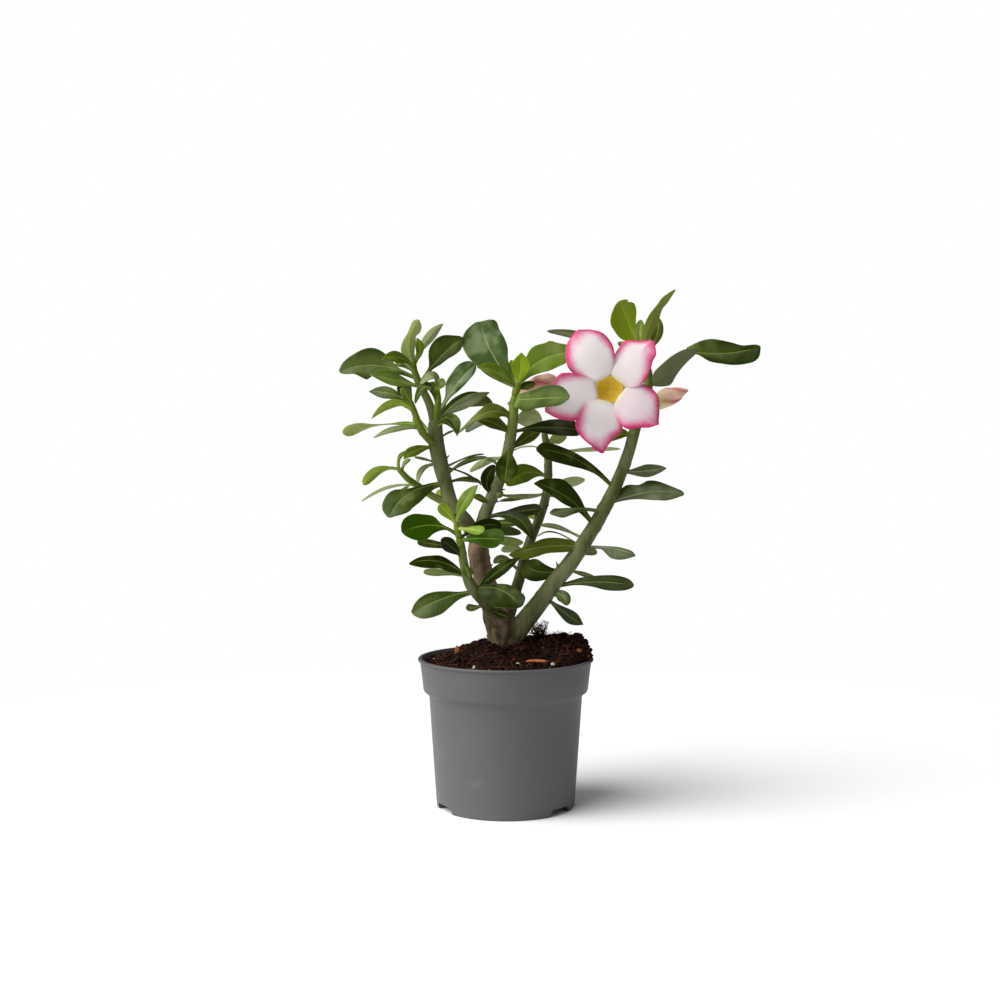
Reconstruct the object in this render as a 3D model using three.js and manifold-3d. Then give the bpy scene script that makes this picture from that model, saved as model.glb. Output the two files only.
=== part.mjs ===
// Potted desert rose: a branching succulent with one open flower and two buds, in a plain nursery pot.
// Millimetres, +Z up. The front of the plant looks towards -Y.

import * as THREE from "three";
import { mergeVertices } from "three/addons/utils/BufferGeometryUtils.js";
import Module from "manifold-3d";

const wasm = await Module();
wasm.setup();

// Driving dimensions of the pot, a standard 12 cm nursery pot
const POT_HEIGHT = 101.4;
const LIP_RADIUS = 60;
const LIP_HEIGHT = 1.6;
const COLLAR_TOP_RADIUS = 58.6;
const COLLAR_FOOT_RADIUS = 56.4;
const COLLAR_HEIGHT = 22;
const SHOULDER_DROP = 4;
const BODY_TOP_RADIUS = 52.4;
const FOOT_RADIUS = 47.3;
const WALL = 1.5;
const FLOOR_LEVEL = 5;
const FOOT_RING_WIDTH = 3;
const POT_SIDES = 36;
const NOTCH_HEIGHT = 4.5;
const NOTCH_WIDTH = 20;
const NOTCH_ANGLES = [-152, -39, 84];

// Clearance between neighbouring pieces
const GAP = 0.3;

// Soil: level at the edge, rise behind, and the heap that runs from the trunk to the right
const SOIL_LEVEL = 97;
const SOIL_BACK_RISE = 5;
const SOIL_HEAP = 17;
const SOIL_LUMP = 0.7;
const HEAP_START = { x: -6, y: 2 };
const HEAP_END = { x: 48, y: 8 };
const HEAP_REACH_LEFT = 46;
const HEAP_REACH_RIGHT = 66;
const SOIL_RINGS = [10, 20, 30, 39, 47, 53];
const SOIL_SIDES = 26;

// Leaves
const BLADE_THICKNESS = 0.9;
const PETIOLE_THICKNESS = 1.8;
const PETIOLE_WIDTH = 2.2;
const TIP_WIDTH = 1.2;
const LEAF_FOLD = 0.2;
const LARGE_LEAF = 12;
const SMALL_LEAF = 5;

// Leaf forms as rows of [share of the length, clockwise half, other half]. The halves lie on either side of
// the midrib, as seen from the front, and are shares of half the leaf's width.
const LEAF_FORMS = {
  plain: [[0, 0.1, 0.1], [0.16, 0.25, 0.25], [0.34, 0.62, 0.62], [0.54, 0.95, 0.95], [0.66, 1, 1],
    [0.8, 0.87, 0.87], [0.92, 0.58, 0.58], [0.98, 0.3, 0.3], [1, 0.05, 0.05]],
  blunt: [[0, 0.1, 0.1], [0.2, 0.28, 0.28], [0.4, 0.66, 0.66], [0.6, 0.95, 0.95], [0.76, 1, 1],
    [0.9, 0.82, 0.82], [0.97, 0.5, 0.5], [1, 0.1, 0.1]],
  point: [[0, 0.1, 0.1], [0.2, 0.3, 0.3], [0.4, 0.7, 0.7], [0.58, 0.98, 0.98], [0.7, 0.98, 0.98],
    [0.84, 0.66, 0.66], [0.94, 0.28, 0.28], [1, 0.04, 0.04]],
  lance: [[0, 0.1, 0.1], [0.18, 0.35, 0.35], [0.38, 0.8, 0.8], [0.54, 1, 1], [0.7, 0.92, 0.92],
    [0.85, 0.6, 0.6], [0.95, 0.26, 0.26], [1, 0.04, 0.04]],
  scoop: [[0, 0.15, 0.15], [0.15, 0.15, 0.3], [0.3, 0.15, 0.65], [0.5, 0.35, 0.95], [0.65, 0.9, 1],
    [0.8, 0.9, 1], [0.92, 0.65, 0.65], [1, 0.15, 0.15]],
  paddle: [[0, 0.15, 0.15], [0.3, 0.2, 0.25], [0.45, 0.45, 0.8], [0.6, 0.6, 0.95], [0.75, 0.65, 1],
    [0.88, 0.55, 0.8], [0.96, 0.35, 0.5], [1, 0.1, 0.1]],
  wavedLeft: [[0, 0.1, 0.1], [0.21, 0.1, 0.25], [0.31, 0.35, 0.45], [0.42, 0.75, 0.65], [0.54, 1, 0.7],
    [0.65, 0.95, 1], [0.74, 0.8, 0.8], [0.83, 0.65, 0.5], [0.93, 0.4, 0.35], [1, 0.1, 0.1]],
  waisted: [[0, 0.25, 0.25], [0.15, 0.5, 0.7], [0.3, 0.65, 1], [0.5, 0.8, 0.75], [0.65, 0.65, 0.45],
    [0.8, 0.9, 0.45], [0.93, 0.7, 0.5], [1, 0.15, 0.15]],
  sail: [[0, 0.1, 0.1], [0.25, 0.15, 0.15], [0.4, 0.35, 0.8], [0.55, 0.45, 1], [0.7, 0.55, 0.9],
    [0.85, 0.5, 0.5], [0.95, 0.25, 0.25], [1, 0.05, 0.05]],
  dipper: [[0, 0.3, 0.3], [0.2, 0.6, 0.5], [0.44, 0.3, 0.3], [0.6, 0.5, 0.5], [0.75, 0.8, 0.95],
    [0.88, 1, 0.95], [0.96, 0.75, 0.7], [1, 0.25, 0.25]],
  longStalk: [[0, 0.1, 0.1], [0.25, 0.1, 0.1], [0.4, 0.2, 0.35], [0.52, 0.6, 0.6], [0.65, 0.75, 0.95],
    [0.8, 0.9, 1], [0.92, 0.75, 0.7], [0.98, 0.4, 0.35], [1, 0.1, 0.1]],
  droop: [[0, 0.25, 0.25], [0.15, 0.25, 0.4], [0.3, 0.45, 0.8], [0.5, 0.75, 0.9], [0.65, 0.6, 1],
    [0.8, 0.5, 0.9], [0.92, 0.3, 0.55], [1, 0.1, 0.1]],
  deepBelly: [[0, 0.15, 0.15], [0.25, 0.15, 0.35], [0.45, 0.45, 0.75], [0.6, 0.65, 1], [0.75, 0.7, 1],
    [0.88, 0.55, 0.85], [0.96, 0.3, 0.55], [1, 0.15, 0.15]],
  broadLow: [[0, 0.1, 0.1], [0.15, 0.4, 0.15], [0.3, 0.7, 0.15], [0.5, 0.9, 0.3], [0.65, 1, 0.45],
    [0.8, 0.9, 0.5], [0.92, 0.6, 0.5], [1, 0.15, 0.15]],
  broadFoot: [[0, 0.45, 0.35], [0.15, 0.65, 0.45], [0.35, 1, 0.6], [0.5, 0.8, 0.8], [0.65, 0.7, 0.9],
    [0.8, 0.65, 0.85], [0.92, 0.55, 0.55], [1, 0.15, 0.15]],
  tongue: [[0, 0.25, 0.25], [0.15, 0.5, 0.25], [0.3, 0.75, 0.6], [0.45, 1, 1], [0.6, 0.7, 0.75],
    [0.8, 0.3, 0.3], [1, 0.05, 0.05]],
  crown: [[0, 0.1, 0.1], [0.15, 0.2, 0.35], [0.35, 0.45, 0.7], [0.5, 0.7, 0.85], [0.65, 0.75, 1],
    [0.8, 0.7, 1], [0.92, 0.7, 0.7], [0.98, 0.6, 0.35], [1, 0.4, 0.2]],
  folded: [[0, 0.15, 0.15], [0.2, 0.4, 0.4], [0.35, 0.65, 0.65], [0.5, 0.85, 1], [0.65, 0.85, 0.9],
    [0.72, 0.8, 0.95], [0.8, 0.75, 0.7], [0.92, 0.5, 0.45], [1, 0.1, 0.1]],
  clubbed: [[0, 0.15, 0.15], [0.2, 0.35, 0.15], [0.35, 0.45, 0.45], [0.5, 0.5, 0.8], [0.65, 0.55, 1],
    [0.8, 0.65, 1], [0.92, 0.6, 0.85], [1, 0.15, 0.15]],
  archedPoint: [[0, 0.15, 0.15], [0.2, 0.25, 0.25], [0.35, 0.6, 0.4], [0.5, 0.85, 0.6], [0.65, 1, 0.6],
    [0.8, 0.7, 0.45], [0.92, 0.4, 0.25], [1, 0.05, 0.05]],
  creased: [[0, 0.15, 0.15], [0.1, 0.15, 0.4], [0.25, 0.3, 1], [0.4, 0.5, 0.75], [0.5, 0.65, 1],
    [0.62, 0.75, 0.9], [0.75, 0.8, 0.6], [0.88, 0.55, 0.35], [0.96, 0.25, 0.25], [1, 0.1, 0.1]],
  hanging: [[0, 0.15, 0.15], [0.3, 0.15, 0.15], [0.4, 0.55, 0.15], [0.5, 0.9, 0.2], [0.62, 1, 0.25],
    [0.75, 0.9, 0.25], [0.88, 0.6, 0.25], [1, 0.05, 0.05]],
  paddleSlim: [[0, 0.15, 0.15], [0.2, 0.15, 0.35], [0.35, 0.3, 0.65], [0.5, 0.6, 0.75], [0.62, 0.9, 0.85],
    [0.75, 1, 0.95], [0.88, 0.85, 0.8], [0.96, 0.5, 0.5], [1, 0.15, 0.15]],
  keel: [[0, 0.3, 0.3], [0.12, 0.6, 0.5], [0.25, 0.8, 0.75], [0.4, 0.95, 0.8], [0.55, 0.9, 0.8],
    [0.7, 0.55, 1], [0.85, 0.35, 1], [0.95, 0.25, 0.65], [1, 0.1, 0.1]],
  clubLow: [[0, 0.25, 0.25], [0.3, 0.25, 0.25], [0.5, 0.25, 0.5], [0.65, 0.25, 0.75], [0.8, 0.35, 1],
    [0.9, 0.5, 0.95], [1, 0.2, 0.2]],
  notched: [[0, 0.1, 0.1], [0.2, 0.15, 0.35], [0.35, 0.25, 0.8], [0.5, 0.45, 0.95], [0.65, 0.7, 1],
    [0.8, 0.75, 0.75], [0.87, 0.6, 0.55], [0.91, 0.4, 0.45], [0.96, 0.45, 0.3], [1, 0.2, 0.1]],
  waist: [[0, 0.3, 0.3], [0.3, 0.9, 0.65], [0.5, 1, 0.75], [0.68, 0.55, 0.55], [0.8, 0.65, 0.6],
    [0.92, 0.4, 0.35], [1, 0.1, 0.1]],
  turnedFoot: [[0, 0.15, 0.15], [0.2, 0.7, 0.7], [0.35, 0.95, 0.85], [0.5, 0.65, 0.95], [0.65, 0.4, 1],
    [0.8, 0.25, 0.9], [0.92, 0.2, 0.65], [1, 0.15, 0.3]],
  turnedEnd: [[0, 0.15, 0.25], [0.15, 0.15, 0.8], [0.3, 0.55, 1], [0.45, 0.7, 0.9], [0.6, 0.85, 0.7],
    [0.75, 0.9, 0.4], [0.88, 0.85, 0.3], [0.96, 0.55, 0.2], [1, 0.05, 0.05]],
};

// Where a person stands who sees the plant from the front, so that shoots can be laid out as seen from there
const EYE = { x: -3.9, z: 251.5, distance: 1000 };

// Stems as rows of [x, z, depth, radius]. x and z are measured on the upright plane through the pot's axis,
// as seen from the front, and depth is how far behind that plane the point lies (in front where negative).
const TRUNK_STEMS = [
  [[2, 84, 0, 8], [1, 98, 0, 9.6], [0, 106, 0, 9.8], [-1, 113, 0, 10.4], [-2.5, 121, 0, 11],
    [-5, 129, 1, 10.4], [-9, 139, 2, 8.4], [-14, 152, 2, 7.2], [-17, 164, 2, 7.1], [-18.5, 175, 1, 7.2],
    [-19.5, 184, 0, 6]],
];

// Leaves as rows of [x, z at the root, x, z halfway, x, z at the tip, depth of the tip, width, face, twist,
// form]. face is the turn of the blade round its midrib: 0 has its upper side up, 90 towards the front, -90
// away. The form is "plain" where none is named.
const SHOOTS = [
  {
    name: "left_stem",
    colour: 0x4a5c1c,
    grownFrom: ["trunk"],
    stems: [
      [[-19.5, 180, 0, 5], [-24, 190, -1, 5.2], [-31, 199, -1, 5], [-37, 207, 0, 4.8], [-40, 217, 2, 4.6],
        [-43, 228, 4, 5.2], [-45.5, 238, 6, 5.4], [-47.5, 249, 8, 5.6], [-48, 258, 9, 5.2],
        [-47, 265, 10, 3.8]],
    ],
    leaves: [
      [-44, 219, -65.5, 214, -79.5, 197.5, -26, 20.5, 70, 0, "scoop"],
      [-52, 244, -60.5, 243.5, -69.5, 237, -14, 8.5, 60, 0, "point"],
      [-49, 233, -55, 237, -62, 238.5, 12, 3.5, 30, 0],
      [-46, 234, -56, 231, -60, 221, -16, 4, 80, 0],
      [-39, 232, -27, 238, -15, 240.5, 14, 3, 20, 0],
      [-38, 225, -29, 234.5, -13, 238.5, -2, 4.5, 45, 0],
      [-40, 233, -28, 227.5, -16.5, 219.5, 24, 3, 20, 0],
      [-39, 222, -28, 223.5, -17, 221, 14, 5, -50, 0],
      [-48, 260, -38.5, 265, -33, 253, -22, 11, 45, 10, "point"],
      [-48, 256, -42, 262, -35, 257, -8, 7, 30, 0],
      [-44, 249, -41, 254, -35, 256.5, 8, 4, 20, 0],
      [-46, 264.5, -34.5, 286.5, -20.5, 301.5, -2, 16, 75, 0, "paddle"],
      [-46, 264, -29.5, 274.5, -11, 282.5, 14, 8.5, 60, 20, "lance"],
      [-46, 264.5, -29, 277, -9, 274, 28, 12, -60, 0],
      [-52, 252, -58, 261, -63, 265, 16, 5, 90, 0],
      [-46, 256, -44, 266, -43, 275, 36, 8, 80, 0],
      [-42, 228, -45.5, 240, -46.5, 250, 34, 9, 80, 0],
    ],
  },
  {
    name: "left_shoot_upper",
    colour: 0x3e5f17,
    grownFrom: ["left_stem"],
    stems: [
      [[-48, 254, 9, 2.8], [-50, 268, 10, 3], [-52.5, 276, 10, 2.8], [-56.5, 284, 9, 2.6], [-60, 291, 8, 2.5],
        [-62.5, 299, 7, 2.2], [-63, 305, 6, 1.8]],
    ],
    leaves: [
      [-60.5, 292, -87.5, 301, -113, 296.5, 2, 24, 65, 0, "wavedLeft"],
      [-59, 285, -74.5, 291, -92, 294.5, -20, 12.5, 50, 0, "point"],
      [-64.5, 299, -72, 306, -84, 305, -14, 8.5, 70, 0, "point"],
      [-63.5, 302, -65.5, 317, -59, 331.5, -4, 11.5, -85, 0, "waisted"],
      [-63, 300.5, -58.5, 310.5, -60.5, 319.5, 8, 6, 95, 0, "point"],
      [-61.5, 303.5, -53, 318.5, -42.5, 329, 24, 7, -75, 0, "lance"],
      [-57.5, 288.5, -43.5, 307.5, -28.5, 319, -8, 22, 80, 0, "sail"],
      [-61, 295, -69, 302.5, -75, 304, 34, 9, 80, 0],
      [-56, 284, -51, 286, -45, 285, 38, 8, 80, 0],
    ],
  },
  {
    name: "left_shoot_young",
    colour: 0x6f8c12,
    grownFrom: ["left_stem", "left_shoot_upper"],
    stems: [
      [[-47, 262, 9, 2.2], [-46.5, 270, 4, 2.4], [-46, 278, 0, 2.2], [-47, 286, -2, 1.6]],
    ],
    leaves: [
      [-46.5, 272, -53.5, 287, -61.5, 275, -26, 9, 35, 0],
      [-46, 279, -48, 293, -58, 288, -12, 9, 40, 0],
      [-46.5, 284, -44, 288, -43.5, 292, -16, 6, 80, 0],
    ],
  },
  {
    name: "left_shoot_outer",
    colour: 0x55731a,
    grownFrom: ["left_stem"],
    stems: [
      [[-47.5, 246, 7, 2.2], [-54, 252, 0, 2.4], [-58.5, 259, -4, 2.4], [-61, 266, -6, 2.2],
        [-64, 274, -7, 2], [-66, 279, -8, 1.5]],
    ],
    leaves: [
      [-64, 275, -78, 281.5, -93, 283, -2, 9, 70, 0, "point"],
      [-63, 270, -76.5, 275, -91.5, 264.5, -20, 6, -70, 0, "lance"],
      [-64, 273, -66.5, 279, -71, 285, -24, 6.5, 85, 0],
      [-62, 270, -68, 283, -71, 289.5, 20, 10, 85, 0],
      [-59.5, 260.5, -85.5, 260.5, -111, 255, -12, 8.5, 60, -140, "dipper"],
      [-58, 257, -73.5, 258, -90, 251.5, -28, 6, 40, 0, "lance"],
      [-62, 268, -70, 275, -78, 280, 26, 7, 45, 0],
    ],
  },
  {
    name: "side_shoot",
    colour: 0x748f24,
    grownFrom: ["left_stem"],
    stems: [
      [[-33, 201, -1, 2.4], [-41, 207, 2, 2.5], [-51, 212.5, 5, 2.5], [-60, 219, 3, 2.4], [-67, 224, -1, 2.2],
        [-73.5, 231, -4, 1.8]],
    ],
    leaves: [
      [-74.5, 228.5, -86.5, 229.5, -97, 219.5, -16, 7, -75, 0, "blunt"],
      [-73, 230, -72.5, 238, -68, 242, -2, 3, 80, 0],
      [-71, 228, -69, 234, -65, 237, 6, 3.5, 60, 0],
      [-60, 219, -79, 218, -98, 208.5, 6, 6, 20, 0],
      [-44, 209, -45, 213, -46, 216, 10, 4.5, 85, 0],
      [-64, 221.5, -73, 212, -77, 204, 26, 8, 45, 0],
      [-56, 216, -62, 210, -68, 208, 24, 11, 60, 0],
    ],
  },
  {
    name: "front_shoot",
    colour: 0x44631a,
    grownFrom: ["trunk"],
    stems: [
      [[-6, 126, -1, 3.8], [-12.5, 137, -11, 4.4], [-19, 145, -19, 4.2], [-24, 151, -24, 3.8],
        [-27, 159, -27, 3.2], [-29, 168, -29, 2.9], [-30.5, 178, -31, 2.7], [-32, 184, -32, 2.5]],
    ],
    leaves: [
      [-31, 182, -15.5, 183, -1.5, 182, -52, 14, 60, 0, "blunt"],
      [-31.5, 182.5, -18, 191, -3, 192, -17, 9, 60, 0, "blunt"],
      [-32, 184.5, -48.5, 192, -71, 187.5, -42, 19.5, 75, 0, "longStalk"],
      [-30, 175, -46, 178.5, -60.5, 180.5, -30, 6, 60, 0, "blunt"],
      [-29.5, 170, -37, 177, -44, 182.5, -44, 9.5, 80, 0],
      [-26, 156, -45, 167, -66, 165.5, -36, 11.5, 60, 0, "droop"],
      [-26.5, 157, -44, 159.5, -56, 159.5, -14, 6, -60, 0, "blunt"],
      [-28.5, 166, -26.5, 161, -24, 154.5, -46, 7, 90, 0, "point"],
      [-20.5, 145.5, -42.5, 142, -64, 131.5, -30, 19.5, 65, 0, "deepBelly"],
      [-15.5, 135.5, -21.5, 135.5, -27, 136.5, -24, 5, 70, 0, "blunt"],
      [-20, 149, -4, 148, 10, 136, -44, 25.5, 70, 0, "broadLow"],
      [-20, 147, -7, 159, 10, 170, -30, 8, 80, 0, "lance"],
      [-12, 136, -4, 131, 4, 129, -28, 6, 65, 0, "point"],
    ],
  },
  {
    name: "front_shoot_tip",
    colour: 0x7d9c16,
    grownFrom: ["front_shoot"],
    stems: [
      [[-32, 184, -32, 2.2], [-33, 189, -33, 2.3], [-34, 195, -34, 1.7]],
    ],
    leaves: [
      [-32.5, 191.5, -39, 199.5, -46, 205.5, -42, 7.5, 90, 0, "blunt"],
      [-32.5, 190, -23, 189, -15, 188, -58, 7, 50, 0, "blunt"],
      [-32.5, 193, -28.5, 207.5, -19, 219.5, -34, 8.5, 85, 0, "lance"],
    ],
  },
  {
    name: "middle_stem",
    colour: 0x4d611c,
    grownFrom: ["trunk", "left_stem"],
    stems: [
      [[-19, 178, 0, 4], [-17.5, 189, 4, 4.6], [-15, 197, 5, 4.4], [-11, 208, 4, 4.2], [-7.5, 216, 2, 4.2],
        [-3, 226, -2, 4], [0, 236, -6, 3.8], [2.5, 247, -9, 3.8], [4, 256, -10, 3.6], [5, 264, -11, 3.4],
        [5.5, 272, -11, 3.2], [6.5, 281, -11, 2.8]],
      [[-8, 214, 2, 2.8], [-1.5, 213, 0, 2.6]],
    ],
    leaves: [
      [2, 278.5, 22.5, 278.5, 43, 279, -54, 20, 65, 0, "broadFoot"],
      [4, 263, -10.5, 269.5, -33, 254, -30, 13, 50, 0, "tongue"],
      [3.5, 253, -7, 261, -21, 265, -20, 9, 60, 0],
      [4, 256, -12, 265, -27, 255.5, -10, 10, 60, 0],
      [5, 256, 29, 259, 53, 256, -18, 13, 60, 0, "blunt"],
      [2, 243, 13, 251, 24, 258, -2, 9, 80, 0],
      [1.5, 241, 12, 245.5, 25, 244.5, -14, 4, 5, 0],
      [0.5, 239, -12, 236, -24.5, 228.5, 0, 5.5, -70, 0],
      [-2, 229, -11, 237, -17.5, 232, -18, 3.5, 50, 0],
      [2.5, 244, 1, 234, -1, 221, -36, 15, 90, 0],
      [-9, 212, -13, 222, -7.5, 233, -16, 9, 90, 0],
      [-11, 207, -16, 210, -22, 211, -16, 6, 50, 0],
      [-8, 214, 8, 211.5, 25, 213, 6, 6, 30, 0],
      [-13, 196.5, 7.5, 201, 24, 203, -10, 10, 50, 0, "blunt"],
      [-15, 196, 6, 197.5, 18.5, 181, -22, 10.5, 65, 0, "point"],
      [-16, 193, -3, 193.5, 9, 193, -12, 6, 55, 0],
      [-17, 188, -3, 188, 10.5, 186.5, 8, 8, -55, 0],
      [-17.5, 186, -2, 181.5, 12, 180, 12, 7, -70, 0],
      [5, 262, 14, 263.5, 24, 261, 32, 10, -75, 0],
      [1, 240, 3, 250, 4.5, 261, 30, 8, 80, 0],
    ],
  },
  {
    name: "middle_stem_tip",
    colour: 0x7f9a17,
    grownFrom: ["middle_stem"],
    stems: [
      [[6.3, 280, -11, 2.4], [7.5, 285, -11, 2.6], [9, 290, -11, 1.8]],
    ],
    leaves: [
      [7.5, 286, -8.5, 307.5, -17.5, 330.5, -2, 32, 85, 0, "crown"],
      [7.5, 285, -4, 295.5, -19.5, 299.5, -26, 13, 45, 0, "lance"],
      [8.5, 287, 10, 297.5, 10.5, 309.5, -14, 12.5, 90, 0, "point"],
      [8, 288, 6, 296, 3.5, 304.5, -6, 5.5, 90, 0],
      [11.5, 286.5, 23.5, 304, 48, 310, 0, 21.5, 78, 0, "folded"],
      [8.5, 287, 15.5, 298, 18, 307, 12, 6, 85, 0],
      [7.5, 285, 13, 286.5, 20, 289, -6, 7, 60, 0],
    ],
  },
  {
    name: "back_stem",
    colour: 0x52612a,
    grownFrom: ["trunk"],
    stems: [
      [[-1, 120, 3, 4.2], [3, 133, 12, 4.4], [6.5, 146, 18, 4.1], [10, 158, 23, 3.8], [13.5, 172, 28, 3.6],
        [18.5, 186, 32, 3.4], [23, 197, 35, 3.3], [26.5, 208, 38, 3.2], [28.5, 220, 41, 3],
        [29, 233, 43, 2.9], [28, 245, 44, 2.7], [26, 256, 44, 2.2]],
    ],
    leaves: [
      [28.5, 225, 14, 228, 1, 219, 16, 14, 75, 0],
      [10.5, 159, 0, 168, -8, 166, 8, 7, 60, 0],
      [13, 172, 6, 176, -3, 175, 14, 8, -60, 0],
      [28, 219, 41, 221, 54, 223, 46, 7.5, -75, 0],
      [28, 241, 55, 243.5, 78, 244, 50, 5, -40, 0],
      [28, 246, 34, 251, 41.5, 252, 48, 9, -75, 0],
      [26, 256, 19, 266, 8, 264, 28, 11, -70, 0],
      [27, 213, 12, 211, -4, 208.5, 18, 6, 25, 0],
      [27, 212, 36, 213, 44, 209, 82, 9, 70, 0],
      [21, 193, 17, 199, 8, 202, 74, 7, 65, 0],
      [26.5, 254, 31, 257, 40, 257, 78, 8, 70, 0],
      [14, 174, 18, 176, 27, 177, 66, 9, 60, 0],
    ],
  },
  {
    name: "right_stem",
    colour: 0x50572f,
    grownFrom: ["trunk"],
    stems: [
      [[2, 112, 0, 7], [9, 121, -1, 7], [16, 130, -2, 6.6], [24, 140, -2, 6.2], [31, 150, -2, 5.8],
        [44, 166, -1, 5.5], [56, 184, 0, 5], [66, 201, 1, 4.7], [75.5, 220, 2, 4.3], [83.5, 241, 4, 4],
        [89, 261, 6, 3.8], [94, 276, 8, 3.6], [97, 290, 10, 3.3], [95, 302, 11, 3], [93, 310, 11, 2.4]],
      [[93, 272, 7, 2.2], [89, 276, 2, 2.2], [85, 279.5, -3, 3.6], [83.5, 280, -5, 3.8]],
      [[93, 272, 7, 1.8], [94, 272, -2, 2.2], [95.2, 272.8, -5.4, 2.8]],
      [[95, 302, 11, 2], [84, 303, 13, 1.8], [70, 297, 13, 1.8], [56, 290.5, 12, 1.8], [44, 288, 11.4, 2],
        [39.6, 288, 11.2, 2.6]],
    ],
    leaves: [
      [73, 216, 47, 237.5, 21, 243.5, -22, 16, 60, 0, "clubbed"],
      [61, 192, 42, 211, 19.5, 220.5, -22, 18, 70, 0, "archedPoint"],
      [79.5, 228.5, 94.5, 229, 109.5, 231, -10, 9.5, 60, 0, "lance"],
      [74, 206.5, 97.5, 214.5, 121.5, 213, -8, 17.5, 60, 0, "creased"],
      [49, 177.5, 73, 176, 88.5, 171, -14, 15.5, 60, 0, "hanging"],
      [49, 173, 57, 173.5, 62, 174.5, 16, 6, 60, 0],
      [31.5, 149, 60.5, 153, 87.5, 150.5, -14, 12, 60, 0, "paddleSlim"],
      [40, 161, 51, 159, 62, 156, 14, 4, 50, 0],
      [26.5, 143, 41, 131.5, 53, 124, -26, 9, 80, 0, "point"],
      [29, 147, 38, 144, 41.5, 137, -12, 9, 70, 0],
      [49, 177.5, 28.5, 177.5, 2.5, 171.5, -18, 13, 60, 0, "keel"],
      [40, 161, 24.5, 160, 12.5, 165.5, 6, 15.5, 80, 0, "blunt"],
      [53, 180, 37, 190, 23.5, 192, 14, 5, 40, 0],
      [52, 178, 34, 187, 22, 184.5, 22, 3, 10, 0],
      [65, 199, 48.5, 203, 30.5, 200, -30, 11.5, 50, 0, "clubLow"],
      [86, 250, 78, 254, 69, 249, -2, 7, 60, 0],
      [86, 251, 80, 256, 75.5, 253, -12, 4.5, 60, 0],
      [93, 308, 83.5, 329, 77.5, 344.5, 0, 23.5, 85, 0, "notched"],
      [94, 309.5, 100, 333, 115, 352, 6, 10.5, -80, 40, "waist"],
      [94, 307, 102, 320, 103, 333, 18, 8, 85, 0],
      [93, 308, 91, 321, 92, 331.5, 22, 7, 85, 0],
      [95, 300, 85, 311, 76.5, 316.5, 30, 7, 60, 0],
      [70, 297, 60, 316, 28, 324, 26, 7, 70, 0],
      [66, 201, 70.5, 211, 75.5, 221, 44, 8, 75, 0],
      [82, 236, 85.5, 248, 88.5, 260, 42, 8, 75, 0],
      [96, 288, 92, 300, 86, 312, 48, 14, 75, 0],
      [45, 167, 49.5, 175, 56, 185.5, 42, 9, 75, 0],
    ],
  },
];

// The long leaf at the right end turns over halfway: two blades of one leaf, each with [x, z, depth] at its
// root, middle and tip
const TURNED_LEAF = [
  {
    path: [[99, 288, 9], [112.5, 297, 6], [130, 311, 2]],
    width: 17, face: -75, twist: 10, form: "turnedFoot",
  },
  {
    path: [[122.5, 310.5, 4], [149, 309, -2], [173, 313.5, -8]],
    width: 20.5, face: 75, twist: 0, form: "turnedEnd",
  },
];

// Flower: centre as seen, depth of its face, and each petal's direction with rows of [distance from the
// centre, half-width on its anticlockwise side, half-width on its clockwise side]
const FLOWER_CENTRE = { x: 70.8, z: 284.6 };
const FLOWER_DEPTH = -32;
const THROAT_RADIUS = 8.6;
const THROAT_DEPTH = 10.5;
const PETALS = [
  {
    direction: 120,
    rows: [[8, 5, 6], [16, 12, 13], [25, 16.5, 16], [34, 14, 14.5], [40, 9.5, 9], [43.5, 2.5, 3]],
  },
  {
    direction: 50,
    rows: [[8, 6, 8], [15, 11, 14], [25, 13, 13], [32, 12.2, 9.8], [37, 6, 8.5], [42, 0.5, 3.5]],
  },
  {
    direction: -35,
    rows: [[8, 7, 8], [17, 16, 14], [24, 16.5, 15], [30, 14, 10], [36, 6.5, 5.5], [39, 1.5, 1.5]],
  },
  {
    direction: -107,
    rows: [[8, 5, 8], [14, 11, 12.5], [23, 16, 15], [30, 12.5, 14.5], [36, 10, 8], [41, 9, -5]],
  },
  {
    direction: 190,
    rows: [[8, 6, 7], [16, 12, 12.5], [25, 16.4, 15.5], [31, 15.2, 15.5], [37, 13, 9], [43.5, 8, -4]],
  },
];
const PETAL_THICKNESS = 0.9;
const PETAL_COLUMNS = [-1, -0.45, 0.45, 1];
const PETAL_LIFT = 2.2;
const FLOWER_TUBE = [[73, 284, -20.4, 3.8], [78, 282.5, -12, 3.2], [83.28, 280.07, -5.25, 2.8]];

// Buds: rows of [x, z, depth, radius], with their furled petals as a twisted ridge
const BUD_RIGHT = [[96.6, 273.4, -7.5, 3.2], [101, 275, -10, 4.6], [106, 277, -11, 6], [111, 279.5, -12, 6.2],
  [117, 281.8, -12, 4.6], [122, 283.4, -12, 1.8], [124, 284, -12, 0.7]];
const BUD_LEFT = [[38.8, 288.3, 11, 2.4], [34, 289, 11, 4.2], [28.5, 289.5, 10, 6], [22, 287.5, 10, 6.5],
  [15, 283, 9, 5], [8, 278.5, 8, 3], [3, 275.5, 8, 1.4], [1, 274.5, 8, 0.7]];
const BUD_RIDGES = 5;
const BUD_RIDGE_HEIGHT = 0.12;
const BUD_TURN = 2.2;
const BUD_SIDES = 10;

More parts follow.
